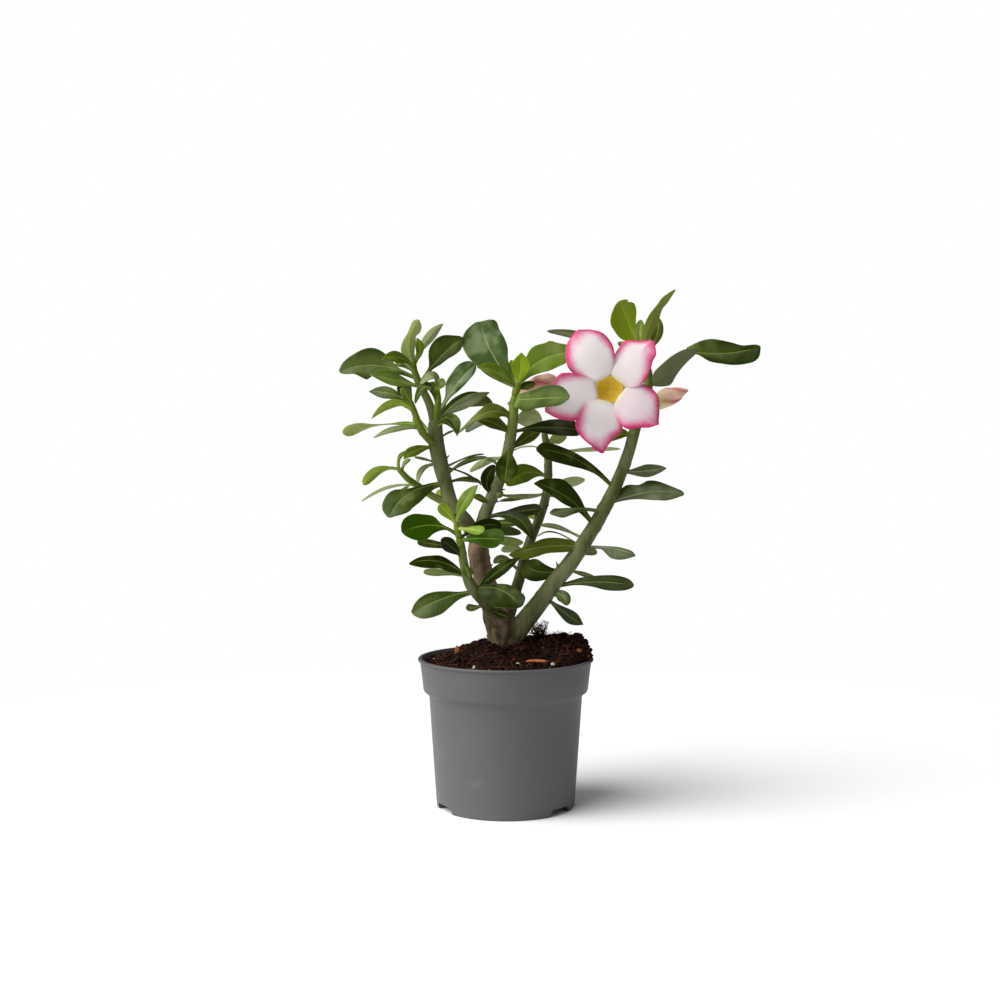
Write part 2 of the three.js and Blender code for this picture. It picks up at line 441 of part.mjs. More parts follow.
// Loose matter on the soil, turned by an angle in degrees
const LOOSE = [
  {
    name: "bark_chip_left", x: -33, y: 2, length: 3.6, width: 2.6, height: 8,
    turn: 20, salt: 7, colour: 0xb86a2c,
  },
  {
    name: "bark_chip_right", x: 22, y: -36, length: 15, width: 3, height: 2.6,
    turn: 4, salt: 8, colour: 0xa8622c,
  },
  {
    name: "perlite_1", x: -50, y: 18, length: 3.2, width: 2.4, height: 2.4,
    turn: 30, salt: 11, colour: 0xd8cfc6,
  },
  {
    name: "perlite_2", x: -21, y: -34, length: 2.8, width: 2.4, height: 2.4,
    turn: 70, salt: 12, colour: 0xd8cfc6,
  },
  {
    name: "perlite_3", x: 8, y: -40, length: 3, width: 2.6, height: 2.4,
    turn: 10, salt: 13, colour: 0xd8cfc6,
  },
  {
    name: "perlite_4", x: 31, y: -40, length: 3, width: 2.4, height: 2.4,
    turn: 50, salt: 14, colour: 0xd8cfc6,
  },
];
const TUFT_PLACE = { x: 23, y: 10 };
const TUFT_RADIUS = 6;
const TUFT_FIBRES = 7;

// Small repeatable number between 0 and 1 for a counted draw
function draw(index, salt) {
  const wave = Math.sin(index * 127.1 + salt * 311.7) * 43758.5453;
  return wave - Math.floor(wave);
}

function smooth(value) {
  const clamped = Math.min(1, Math.max(0, value));
  return clamped * clamped * (3 - 2 * clamped);
}

// A point seen at (x, z) on the upright plane through the pot's axis, moved back by depth along the line of
// sight
function seen(x, z, depth = 0) {
  const reach = 1 + depth / EYE.distance;
  return new THREE.Vector3(EYE.x + (x - EYE.x) * reach, depth, EYE.z + (z - EYE.z) * reach);
}

function geometryOf(vertices, triangles) {
  const geometry = new THREE.BufferGeometry();
  const places = vertices.flatMap((v) => [v.x, v.y, v.z]);
  geometry.setAttribute("position", new THREE.Float32BufferAttribute(places, 3));
  geometry.setIndex(triangles);
  return geometry;
}

// A solid from a closed geometry, with its faces pointing out
function solidOf(geometry) {
  const bare = geometry.clone();
  bare.deleteAttribute("normal");
  bare.deleteAttribute("uv");
  const merged = mergeVertices(bare, 1e-4);
  const mesh = new wasm.Mesh({
    numProp: 3,
    vertProperties: new Float32Array(merged.attributes.position.array),
    triVerts: new Uint32Array(merged.index.array),
  });
  const solid = new wasm.Manifold(mesh);
  if (solid.volume() > 0) {
    return solid;
  }
  const turned = [];
  for (let i = 0; i < merged.index.count; i += 3) {
    turned.push(merged.index.getX(i), merged.index.getX(i + 2), merged.index.getX(i + 1));
  }
  merged.setIndex(turned);
  return solidOf(merged);
}

// The geometry of a solid's largest connected body
function geometryFrom(solid) {
  const bodies = solid.decompose().sort((a, b) => b.volume() - a.volume());
  const { vertProperties, triVerts, numProp } = bodies[0].getMesh();
  const positions = [];
  for (let i = 0; i < vertProperties.length; i += numProp) {
    positions.push(vertProperties[i], vertProperties[i + 1], vertProperties[i + 2]);
  }
  const geometry = new THREE.BufferGeometry();
  geometry.setAttribute("position", new THREE.Float32BufferAttribute(positions, 3));
  geometry.setIndex(Array.from(triVerts));
  return geometry;
}

function fuse(solids) {
  return solids.reduce((whole, piece) => whole.add(piece));
}

// A solid skinned over rings of equally many points, closed by a fan at each end
function loft(rings) {
  const sides = rings[0].length;
  const triangles = [];
  for (let i = 0; i + 1 < rings.length; i += 1) {
    for (let j = 0; j < sides; j += 1) {
      const a = i * sides + j;
      const b = i * sides + ((j + 1) % sides);
      triangles.push(a, b, b + sides, a, b + sides, a + sides);
    }
  }
  const last = (rings.length - 1) * sides;
  for (let j = 1; j + 1 < sides; j += 1) {
    triangles.push(0, j + 1, j);
    triangles.push(last, last + j, last + j + 1);
  }
  return solidOf(geometryOf(rings.flat(), triangles));
}

// A sheet of given thickness over a grid of points: both faces are split along the same diagonals
function sheet(grid, normals, thicknesses) {
  const rows = grid.length;
  const columns = grid[0].length;
  const vertices = [];
  for (const side of [0.5, -0.5]) {
    for (let i = 0; i < rows; i += 1) {
      for (let j = 0; j < columns; j += 1) {
        vertices.push(grid[i][j].clone().addScaledVector(normals[i][j], side * thicknesses[i]));
      }
    }
  }
  const top = (i, j) => i * columns + j;
  const bottom = (i, j) => rows * columns + i * columns + j;
  const triangles = [];
  for (let i = 0; i + 1 < rows; i += 1) {
    for (let j = 0; j + 1 < columns; j += 1) {
      triangles.push(top(i, j), top(i + 1, j), top(i + 1, j + 1));
      triangles.push(top(i, j), top(i + 1, j + 1), top(i, j + 1));
      triangles.push(bottom(i, j), bottom(i + 1, j + 1), bottom(i + 1, j));
      triangles.push(bottom(i, j), bottom(i, j + 1), bottom(i + 1, j + 1));
    }
  }
  const rim = [];
  for (let j = 0; j < columns; j += 1) rim.push([0, j]);
  for (let i = 1; i < rows; i += 1) rim.push([i, columns - 1]);
  for (let j = columns - 2; j >= 0; j -= 1) rim.push([rows - 1, j]);
  for (let i = rows - 2; i > 0; i -= 1) rim.push([i, 0]);
  rim.forEach((here, k) => {
    const next = rim[(k + 1) % rim.length];
    triangles.push(top(...here), top(...next), bottom(...next));
    triangles.push(top(...here), bottom(...next), bottom(...here));
  });
  return solidOf(geometryOf(vertices, triangles));
}

// The centre line of a stem, in coordinates as seen (x, depth, z), with its radius at each row
function centreLine(rows) {
  return {
    curve: new THREE.CatmullRomCurve3(rows.map(([x, z, depth]) => new THREE.Vector3(x, depth, z))),
    radii: rows.map((row) => row[3]),
  };
}

function pointOn(line, share) {
  const at = line.curve.getPoint(share);
  return seen(at.x, at.z, at.y);
}

function radiusOn(line, share) {
  const position = share * (line.radii.length - 1);
  const index = Math.min(Math.floor(position), line.radii.length - 2);
  return THREE.MathUtils.lerp(line.radii[index], line.radii[index + 1], position - index);
}

// Rings round a centre line, each point pushed in or out by shape(share, angle)
function ringsAlong(line, steps, sides, extra = 0, shape = () => 1) {
  const rings = [];
  for (let i = 0; i <= steps; i += 1) {
    const share = i / steps;
    const centre = pointOn(line, share);
    const before = pointOn(line, Math.max(0, share - 0.01));
    const after = pointOn(line, Math.min(1, share + 0.01));
    const along = after.sub(before).normalize();
    const side = along.clone().cross(new THREE.Vector3(0, 1, 0)).normalize();
    const out = side.clone().cross(along);
    const ring = [];
    for (let j = 0; j < sides; j += 1) {
      const angle = (2 * Math.PI * j) / sides;
      const radius = radiusOn(line, share) * shape(share, angle) + extra;
      ring.push(centre.clone()
        .addScaledVector(side, radius * Math.cos(angle))
        .addScaledVector(out, radius * Math.sin(angle)));
    }
    rings.push(ring);
  }
  return rings;
}

function stemSolid(line, extra = 0) {
  const steps = Math.max(2, (line.radii.length - 1) * 1);
  const thickest = Math.max(...line.radii);
  const sides = thickest > 6 ? 10 : thickest > 4 ? 8 : 6;
  return loft(ringsAlong(line, steps, sides, extra));
}

// Both half-widths of a leaf, clockwise side first, at a share of its length
function halfWidths(form, share, width) {
  const rows = LEAF_FORMS[form];
  const index = Math.max(1, rows.findIndex(([at]) => at >= share));
  const [before, after] = [rows[index - 1], rows[index]];
  const along = (share - before[0]) / (after[0] - before[0]);
  const least = share > 0.95 ? TIP_WIDTH / 2 : PETIOLE_WIDTH / 2;
  const half = (side) => (width / 2) * THREE.MathUtils.lerp(before[side], after[side], along);
  return [1, 2].map((side) => Math.max(least, half(side)));
}

// A leaf or bract along a quadratic curve through three points
function bladeSolid([root, middle, tip], { width, face, twist, form = "plain" }, extra = 0) {
  const turning = middle.clone().multiplyScalar(2).addScaledVector(root, -0.5).addScaledVector(tip, -0.5);
  const curve = new THREE.QuadraticBezierCurve3(root, turning, tip);
  let stations = [0, 0.26, 0.54, 0.82, 1];
  if (width >= LARGE_LEAF) stations = [0, 0.16, 0.34, 0.54, 0.74, 0.9, 1];
  if (width < SMALL_LEAF) stations = [0, 0.3, 0.66, 1];
  const across = width < SMALL_LEAF ? [-1, 1] : [-1, 0, 1];

  const towardsFront = new THREE.Vector3(0, -1, 0);
  const frames = stations.map((share) => {
    const along = curve.getTangent(share).normalize();
    const front = towardsFront.clone().addScaledVector(along, -towardsFront.dot(along)).normalize();
    return { share, along, front, upper: front.clone().cross(along) };
  });
  const centre = Math.floor(frames.length / 2);
  if (frames[centre].upper.z < 0) frames[centre].upper.negate();
  for (let i = centre + 1; i < frames.length; i += 1) {
    if (frames[i].upper.dot(frames[i - 1].upper) < 0) frames[i].upper.negate();
  }
  for (let i = centre - 1; i >= 0; i -= 1) {
    if (frames[i].upper.dot(frames[i + 1].upper) < 0) frames[i].upper.negate();
  }

  const grid = [];
  const normals = [];
  const thicknesses = [];
  for (const { share, along, front, upper } of frames) {
    const turn = THREE.MathUtils.degToRad(face + twist * share);
    const lean = upper.clone().multiplyScalar(Math.cos(turn));
    const normal = lean.addScaledVector(front, Math.sin(turn)).normalize();
    const side = along.clone().cross(normal).normalize();
    const [clockwise, other] = halfWidths(form, share, width);
    const halves = face < 0 ? { far: clockwise, near: other } : { far: other, near: clockwise };
    const fold = LEAF_FOLD * Math.max(0, (clockwise + other) / 2 - PETIOLE_WIDTH / 2);
    const point = curve.getPoint(share);
    grid.push(across.map((place) => point.clone()
      .addScaledVector(side, place * ((place < 0 ? halves.far : halves.near) + extra))
      .addScaledVector(normal, fold * (Math.abs(place) - 0.5))));
    normals.push(across.map(() => normal));
    const thickness = THREE.MathUtils.lerp(PETIOLE_THICKNESS, BLADE_THICKNESS, smooth(share / 0.35));
    thicknesses.push(thickness + 2 * extra);
  }
  return sheet(grid, normals, thicknesses);
}

// The point of a shoot's stems that lies nearest to (x, z) as seen
function nearestOn(lines, x, z) {
  let best = { distance: Infinity, point: null, depth: 0 };
  for (const line of lines) {
    for (let share = 0; share <= 1; share += 0.02) {
      const at = line.curve.getPoint(share);
      const distance = Math.hypot(at.x - x, at.z - z);
      if (distance < best.distance) {
        best = { distance, point: pointOn(line, share), depth: at.y };
      }
    }
  }
  return best;
}

function leafSolid(lines, [x0, z0, x1, z1, x2, z2, depth, width, face, twist, form], extra = 0) {
  const root = nearestOn(lines, x0, z0);
  const middle = seen(x1, z1, (root.depth + depth) / 2);
  return bladeSolid([root.point, middle, seen(x2, z2, depth)], { width, face, twist, form }, extra);
}

function turnedLeafSolids() {
  return TURNED_LEAF.map((blade) => bladeSolid(blade.path.map((place) => seen(...place)), blade));
}

// The pot: outer wall with lip, collar and shoulder, foot ring with three notches, and the inner wall
function potSolid() {
  const collarFoot = POT_HEIGHT - COLLAR_HEIGHT;
  const bodyTop = collarFoot - SHOULDER_DROP;
  const middleRadius = (COLLAR_FOOT_RADIUS + BODY_TOP_RADIUS) / 2;
  const profile = [
    [FOOT_RADIUS, 0],
    [BODY_TOP_RADIUS, bodyTop],
    [middleRadius, collarFoot - SHOULDER_DROP * 0.35],
    [COLLAR_FOOT_RADIUS, collarFoot + 0.8],
    [COLLAR_TOP_RADIUS, POT_HEIGHT - LIP_HEIGHT - 0.8],
    [LIP_RADIUS, POT_HEIGHT - LIP_HEIGHT],
    [LIP_RADIUS, POT_HEIGHT - 0.4],
    [LIP_RADIUS - 0.5, POT_HEIGHT],
    [COLLAR_TOP_RADIUS - WALL + 0.3, POT_HEIGHT],
    [COLLAR_TOP_RADIUS - WALL, POT_HEIGHT - 0.6],
    [COLLAR_FOOT_RADIUS - WALL, collarFoot + 1.4],
    [middleRadius - WALL, collarFoot - SHOULDER_DROP * 0.2],
    [BODY_TOP_RADIUS - WALL, bodyTop],
    [FOOT_RADIUS - WALL + 0.3, FLOOR_LEVEL + WALL],
    [0, FLOOR_LEVEL + WALL],
    [0, FLOOR_LEVEL],
    [FOOT_RADIUS - FOOT_RING_WIDTH, FLOOR_LEVEL],
    [FOOT_RADIUS - FOOT_RING_WIDTH, 0],
    [FOOT_RADIUS, 0],
  ].map(([radius, level]) => new THREE.Vector2(radius, level));
  const turned = new THREE.LatheGeometry(profile, POT_SIDES).rotateX(Math.PI / 2);
  let pot = solidOf(turned);
  for (const degrees of NOTCH_ANGLES) {
    const angle = THREE.MathUtils.degToRad(degrees);
    const notch = new THREE.BoxGeometry(12, NOTCH_WIDTH, NOTCH_HEIGHT * 2);
    notch.rotateZ(angle).translate(FOOT_RADIUS * Math.cos(angle), FOOT_RADIUS * Math.sin(angle), 0);
    pot = pot.subtract(solidOf(notch));
  }
  return pot;
}

// Radius of the pot's inner wall at a level
function innerRadius(level) {
  const collarFoot = POT_HEIGHT - COLLAR_HEIGHT;
  if (level >= collarFoot + 1.4) {
    const share = (level - collarFoot - 1.4) / (POT_HEIGHT - 0.6 - collarFoot - 1.4);
    return THREE.MathUtils.lerp(COLLAR_FOOT_RADIUS, COLLAR_TOP_RADIUS, Math.min(1, share)) - WALL;
  }
  const share = (level - FLOOR_LEVEL - WALL) / (collarFoot - SHOULDER_DROP - FLOOR_LEVEL - WALL);
  return THREE.MathUtils.lerp(FOOT_RADIUS, BODY_TOP_RADIUS, Math.min(1, share)) - WALL;
}

// Level of the soil's surface
function soilLevel(x, y) {
  const run = { x: HEAP_END.x - HEAP_START.x, y: HEAP_END.y - HEAP_START.y };
  const offset = { x: x - HEAP_START.x, y: y - HEAP_START.y };
  const share = Math.min(1, Math.max(0, (offset.x * run.x + offset.y * run.y) / (run.x ** 2 + run.y ** 2)));
  const away = Math.hypot(offset.x - share * run.x, offset.y - share * run.y);
  const edge = smooth((60.5 - Math.hypot(x, y)) / 8);
  const reach = THREE.MathUtils.lerp(HEAP_REACH_LEFT, HEAP_REACH_RIGHT, smooth((x + 30) / 40));
  const heap = SOIL_HEAP * Math.max(0, 1 - away / reach) * (0.4 + 0.6 * edge);
  const behind = SOIL_BACK_RISE * smooth(y / 45) * smooth((x + 50) / 25);
  const lumps = SOIL_LUMP * (Math.sin(x * 0.9 + y * 0.4) + Math.sin(y * 0.8 - x * 0.3));
  return SOIL_LEVEL + heap + behind + lumps;
}

function soilBody() {
  const vertices = [new THREE.Vector3(0, 0, soilLevel(0, 0))];
  const rimRadius = innerRadius(SOIL_LEVEL) - GAP;
  const radii = [...SOIL_RINGS, rimRadius];
  const around = (index) => (2 * Math.PI * index) / SOIL_SIDES;
  for (const radius of radii) {
    for (let j = 0; j < SOIL_SIDES; j += 1) {
      const x = radius * Math.cos(around(j));
      const y = radius * Math.sin(around(j));
      vertices.push(new THREE.Vector3(x, y, soilLevel(x, y)));
    }
  }
  // Below its surface the soil follows the pot's wall down to the floor
  const facetShrink = Math.cos(Math.PI / SOIL_SIDES);
  const collarFoot = POT_HEIGHT - COLLAR_HEIGHT;
  const levels = [92, collarFoot + 2.4, collarFoot - SHOULDER_DROP, FLOOR_LEVEL + WALL + GAP];
  for (const level of levels) {
    const radius = (innerRadius(level) - GAP) * facetShrink - 0.3;
    for (let j = 0; j < SOIL_SIDES; j += 1) {
      vertices.push(new THREE.Vector3(radius * Math.cos(around(j)), radius * Math.sin(around(j)), level));
    }
  }
  vertices.push(new THREE.Vector3(0, 0, FLOOR_LEVEL + WALL + GAP));
  const rings = radii.length + levels.length;
  const triangles = [];
  for (let j = 0; j < SOIL_SIDES; j += 1) {
    const next = (j + 1) % SOIL_SIDES;
    triangles.push(0, 1 + j, 1 + next);
    for (let i = 0; i + 1 < rings; i += 1) {
      const a = 1 + i * SOIL_SIDES + j;
      const b = 1 + i * SOIL_SIDES + next;
      triangles.push(a, a + SOIL_SIDES, b + SOIL_SIDES, a, b + SOIL_SIDES, b);
    }
    const last = 1 + (rings - 1) * SOIL_SIDES;
    triangles.push(last + j, vertices.length - 1, last + next);
  }
  return solidOf(geometryOf(vertices, triangles));
}

// A rough lump: a low sphere with its points moved by a draw
function lump(length, width, height, salt, detail = 0) {
  const ball = new THREE.IcosahedronGeometry(0.5, detail);
  ball.deleteAttribute("normal");
  ball.deleteAttribute("uv");
  const shape = mergeVertices(ball, 1e-4);
  const positions = shape.attributes.position;
  for (let i = 0; i < positions.count; i += 1) {
    const stretch = 0.85 + 0.3 * draw(i, salt);
    positions.setXYZ(
      i,
      positions.getX(i) * length * stretch,
      positions.getY(i) * width * stretch,
      positions.getZ(i) * height * stretch,
    );
  }
  return shape;
}

// A chip or grain bedded in the soil, or with extra the pocket that it lies in
function looseSolid({ x, y, length, width, height, turn, salt }, extra = 0) {
  const shape = lump(length + 2 * extra, width + 2 * extra, height + 2 * extra, salt);
  shape.rotateZ(THREE.MathUtils.degToRad(turn));
  shape.translate(x, y, soilLevel(x, y) + height * 0.25);
  return solidOf(shape);
}

// The tuft's core, bedded in the soil, or with extra the pocket that it lies in
function tuftCore(extra = 0) {
  const foot = soilLevel(TUFT_PLACE.x, TUFT_PLACE.y);
  const width = TUFT_RADIUS * 2 + 2 * extra;
  const core = lump(width, width * 0.8, TUFT_RADIUS * 1.6 + 2 * extra, 3, 1);
  core.translate(TUFT_PLACE.x, TUFT_PLACE.y, foot + TUFT_RADIUS * 0.3);
  return solidOf(core);
}

// Curled coir fibres stand out of the core's upper side
function tuftSolid() {
  const centre = new THREE.Vector3(TUFT_PLACE.x, TUFT_PLACE.y, soilLevel(TUFT_PLACE.x, TUFT_PLACE.y) + 2);
  const corners = [[0.45, 0], [-0.25, 0.4], [-0.25, -0.4]];
  const section = new THREE.Shape(corners.map(([u, v]) => new THREE.Vector2(u, v)));
  const solids = [tuftCore()];
  for (let k = 0; k < TUFT_FIBRES; k += 1) {
    const start = (2 * Math.PI * k) / TUFT_FIBRES;
    const rise = TUFT_RADIUS * (0.9 + 0.9 * draw(k, 5));
    const reach = TUFT_RADIUS * (0.9 + 0.4 * draw(k, 6));
    const points = [0, 0.5, 1, 1.5].map((turn) => new THREE.Vector3(
      centre.x + reach * Math.sin(turn * 1.9) * Math.cos(start + turn),
      centre.y + reach * Math.sin(turn * 1.9) * Math.sin(start + turn) * 0.8,
      centre.z + rise * Math.sin(turn * 1.3),
    ));
    const path = new THREE.CatmullRomCurve3(points);
    const sweep = { steps: 5, extrudePath: path, bevelEnabled: false };
    solids.push(solidOf(new THREE.ExtrudeGeometry(section, sweep)));
  }
  return fuse(solids);
}

// The flower's own frame: x to the right, y towards the viewer's back, z up, around its face
function flowerPoint(across, forward, up) {
  const centre = seen(FLOWER_CENTRE.x, FLOWER_CENTRE.z, FLOWER_DEPTH);
  return new THREE.Vector3(centre.x + across, centre.y - forward, centre.z + up);
}

// Each petal lies over the next one clockwise, so its clockwise side stands forward of its other side
function petalSolid({ direction, rows }) {
  const angle = THREE.MathUtils.degToRad(direction);
  const out = { x: Math.cos(angle), z: Math.sin(angle) };
  const reach = rows[rows.length - 1][0];
  const grid = rows.map(([distance, left, right]) => {
    const share = distance / reach;
    return PETAL_COLUMNS.map((place) => {
      const sideways = place > 0 ? place * left : place * right;
      const forward = -6 * (1 - share) ** 2 - 3 * share ** 3 - PETAL_LIFT * place * smooth(share * 2.4 - 0.4);
      return flowerPoint(
        out.x * distance - out.z * sideways,
        forward,
        out.z * distance + out.x * sideways,
      );
    });
  });
  const facing = new THREE.Vector3(0, -1, 0);
  const normals = grid.map((row) => row.map(() => facing));
  return sheet(grid, normals, rows.map(() => PETAL_THICKNESS));
}

// A ring or cup turned round the flower's axis, from a closed profile of [radius, forward]
function flowerTurned(profile, sides) {
  const points = profile.map(([r, forward]) => new THREE.Vector2(r, forward));
  const geometry = new THREE.LatheGeometry(points, sides);
  const centre = flowerPoint(0, 0, 0);
  const positions = geometry.attributes.position;
  for (let i = 0; i < positions.count; i += 1) {
    const [x, forward, z] = [positions.getX(i), positions.getY(i), positions.getZ(i)];
    positions.setXYZ(i, centre.x + x, centre.y - forward, centre.z + z);
  }
  return solidOf(geometry);
}

function corollaSolid() {
  const funnel = flowerTurned([
    [THROAT_RADIUS + 0.9, -3.6], [THROAT_RADIUS * 0.9, -6.5],
    [5.2, -THROAT_DEPTH - 1.4], [0, -THROAT_DEPTH - 1.8],
    [0, -THROAT_DEPTH - 0.4], [4.2, -THROAT_DEPTH],
    [THROAT_RADIUS * 0.9 - 1, -6.2], [THROAT_RADIUS - 0.2, -3.8], [THROAT_RADIUS + 0.9, -3.6],
  ], 16);
  const tube = stemSolid(centreLine(FLOWER_TUBE));
  return fuse([funnel, tube, ...PETALS.map(petalSolid)]);
}

// The yellow lining of the throat, a cup inside the funnel
function throatSolid() {
  return flowerTurned([
    [THROAT_RADIUS - 0.85, -4.6], [THROAT_RADIUS * 0.9 - 1.35, -6.2], [3.7, -THROAT_DEPTH + 0.8],
    [0, -THROAT_DEPTH + 0.4], [0, -THROAT_DEPTH + 1.6], [3.2, -THROAT_DEPTH + 2],
    [THROAT_RADIUS * 0.9 - 2.3, -5.8], [THROAT_RADIUS - 1.8, -4.6], [THROAT_RADIUS - 0.85, -4.6],
  ], 16);
}

// A furled bud: its ridges turn round it towards the tip
function budSolid(rows) {
  const ridge = (share, angle) => 1 + BUD_RIDGE_HEIGHT * smooth(share * 2) * Math.cos(
    BUD_RIDGES * 0.6 * (angle + BUD_TURN * share),
  );
  return loft(ringsAlong(centreLine(rows), (rows.length - 1) * 2, BUD_SIDES, 0, ridge));
}

function material(colour, roughness, metalness = 0) {
  return new THREE.MeshStandardMaterial({ color: colour, roughness, metalness });
}

const plant = new THREE.Group();

function addNode(name, solid, colour, roughness) {
  const mesh = new THREE.Mesh(geometryFrom(solid), material(colour, roughness));
  mesh.name = name;
  plant.add(mesh);
}

// Stems first, so that each shoot can be cut clear of the stem that it grew from
const stemLines = { trunk: TRUNK_STEMS.map(centreLine) };
for (const shoot of SHOOTS) {
  stemLines[shoot.name] = shoot.stems.map(centreLine);
}

function clearanceOf(name) {
  return fuse(stemLines[name].map((line) => stemSolid(line, GAP)));
}

// The room that a shoot's stems and leaves need
function roomOf(name) {
  const shoot = SHOOTS.find((candidate) => candidate.name === name);
  const leaves = shoot ? shoot.leaves.map((row) => leafSolid(stemLines[name], row, GAP)) : [];
  return fuse([clearanceOf(name), ...leaves]);
}

function shootSolid(shoot) {
  const lines = stemLines[shoot.name];
  const stems = lines.map((line) => stemSolid(line));
  const pieces = [...stems, ...shoot.leaves.map((row) => leafSolid(lines, row))];
  if (shoot.name === "right_stem") {
    pieces.push(...turnedLeafSolids());
  }
  let whole = fuse(pieces);
  for (const parent of shoot.grownFrom) {
    whole = whole.subtract(roomOf(parent));
  }
  return whole;
}

addNode("pot", potSolid(), 0x76777a, 0.55);
const stemClearances = ["trunk", "right_stem", "back_stem", "front_shoot"].map(clearanceOf);
const pockets = [tuftCore(GAP), ...LOOSE.map((piece) => looseSolid(piece, GAP))];
addNode("soil", soilBody().subtract(fuse([...stemClearances, ...pockets])), 0x2e1710, 0.95);
addNode("trunk", fuse(stemLines.trunk.map((line) => stemSolid(line))), 0x6e6658, 0.8);
for (const shoot of SHOOTS) {
  addNode(shoot.name, shootSolid(shoot), shoot.colour, 0.45);
}
addNode("flower_petals", corollaSolid(), 0xe8d6d6, 0.5);
addNode("flower_throat", throatSolid(), 0xc9a21c, 0.6);
addNode("bud_right", budSolid(BUD_RIGHT), 0xd9898a, 0.5);
addNode("bud_left", budSolid(BUD_LEFT), 0xd9a08c, 0.5);
for (const piece of LOOSE) {
  addNode(piece.name, looseSolid(piece), piece.colour, 0.85);
}
addNode("fibre_tuft", tuftSolid(), 0x3a2118, 0.95);

// The origin is the middle of the whole plant's footprint, at the level that the pot stands on
plant.updateMatrixWorld(true);
const bounds = new THREE.Box3().setFromObject(plant, true);
plant.position.set(-(bounds.min.x + bounds.max.x) / 2, -(bounds.min.y + bounds.max.y) / 2, -bounds.min.z);

export default plant;
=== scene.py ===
# Looks for a potted desert rose: a branching succulent with one open flower and two buds in a nursery pot.
# Lengths in the tables are millimetres, measured from the foot of the pot's axis.

import math
import random

import bmesh
import bpy
from mathutils import Matrix, Vector, noise


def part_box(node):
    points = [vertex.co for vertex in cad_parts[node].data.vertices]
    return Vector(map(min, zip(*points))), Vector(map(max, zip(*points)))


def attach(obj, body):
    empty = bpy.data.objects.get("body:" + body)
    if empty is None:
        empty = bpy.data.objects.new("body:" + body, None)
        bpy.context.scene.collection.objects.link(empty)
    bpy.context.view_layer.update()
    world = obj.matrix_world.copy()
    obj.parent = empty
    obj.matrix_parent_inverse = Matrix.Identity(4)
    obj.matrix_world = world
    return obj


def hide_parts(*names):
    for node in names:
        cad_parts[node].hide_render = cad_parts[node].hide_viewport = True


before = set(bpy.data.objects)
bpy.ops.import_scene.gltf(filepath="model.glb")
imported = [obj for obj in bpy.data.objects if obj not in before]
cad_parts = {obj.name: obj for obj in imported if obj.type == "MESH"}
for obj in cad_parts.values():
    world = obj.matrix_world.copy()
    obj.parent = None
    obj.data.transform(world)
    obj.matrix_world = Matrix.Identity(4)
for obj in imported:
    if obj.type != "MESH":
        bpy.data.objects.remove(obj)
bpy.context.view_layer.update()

MM = 0.001

# The pot, a standard 12 cm nursery pot. Angles are degrees, and edges that turn further than CRISP_ANGLE stay
# crisp.
POT_HEIGHT = 101.4
LIP_RADIUS = 60
LIP_HEIGHT = 1.6
COLLAR_TOP_RADIUS = 58.6
COLLAR_FOOT_RADIUS = 56.4
COLLAR_HEIGHT = 22
SHOULDER_DROP = 4
BODY_TOP_RADIUS = 52.4
FOOT_RADIUS = 47.3
WALL = 1.5
FLOOR_LEVEL = 5
FOOT_RING_WIDTH = 3
POT_SIDES = 192
NOTCH_HEIGHT = 4.5
NOTCH_WIDTH = 20
NOTCH_DEPTH = 12
NOTCH_ROUND = 1.6
NOTCH_ANGLES = [-152, -39, 84]
CRISP_ANGLE = 38

# Soil: level at the edge, rise behind, and the heap that runs from the trunk to the right
SOIL_LEVEL = 97
SOIL_BOTTOM = 88
SOIL_BACK_RISE = 5
SOIL_HEAP = 17
SOIL_LUMP = 0.7
SOIL_RINGS = 60
SOIL_SIDES = 150
HEAP_START = (-6, 2)
HEAP_END = (48, 8)
HEAP_REACH_LEFT = 46
HEAP_REACH_RIGHT = 66

# Loose crumbs: how many, how far out they lie, limits of their length, width and height as shares of their
# size, the size from which they are rounder, radii and angles of every sixth one, which lies at the right,
# the radius from which they lie on the rim, and the ground round the trunk that stays free of them
CRUMBS = 1500
CRUMB_REACH = 56.6
CRUMB_FORM = [(0.9, 1.7), (0.8, 1.2), (0.6, 1)]
COARSE_CRUMB = 1.6
RIM_CRUMBS = (50, 58.8)
RIM_CRUMB_ANGLES = (-0.42, 0.5)
RIM_START = 56.8
TRUNK_CENTRE = 0.5
TRUNK_CLEARANCE = 9.5

# Fibres on the soil, which lift higher to the right of TALL_FROM, and the coir tuft
FIBRES = 420
FIBRE_REACH = 54
FIBRE_EDGE = 55.5
FIBRE_LIFT = 1.6
FIBRE_LIFT_RIGHT = 3
TALL_FROM = 26
TUFT_PLACE = (23, 10)
TUFT_RADIUS = 6.6
TUFT_FIBRES = 70
TUFT_LUMPS = 9

# Stems: length of a step along the skin, and the sides of thin and thick ones, told by the radius at the foot
STEM_STEP = 1.6
THIN_STEM = 2.6
THIN_SIDES = 14
THICK_SIDES = 24

# Leaf scars: their spacing along thick and thin stems, length, width and height of the swelling, and the size
# and age from which a dry foot is left, as rings of (reach, radius)
SCAR_SPACING = 5
THIN_SCAR_SPACING = 9
SCAR_LENGTH = 1.5
SCAR_WIDTH = 1.7
SCAR_SWELL = 0.42
STUB_SIZE = 1.08
STUB_AGE = 0.5
STUB_RINGS = [(0, 1), (0.7, 0.75), (1.5, 0.5), (2.2, 0.4), (2.6, 0.2)]

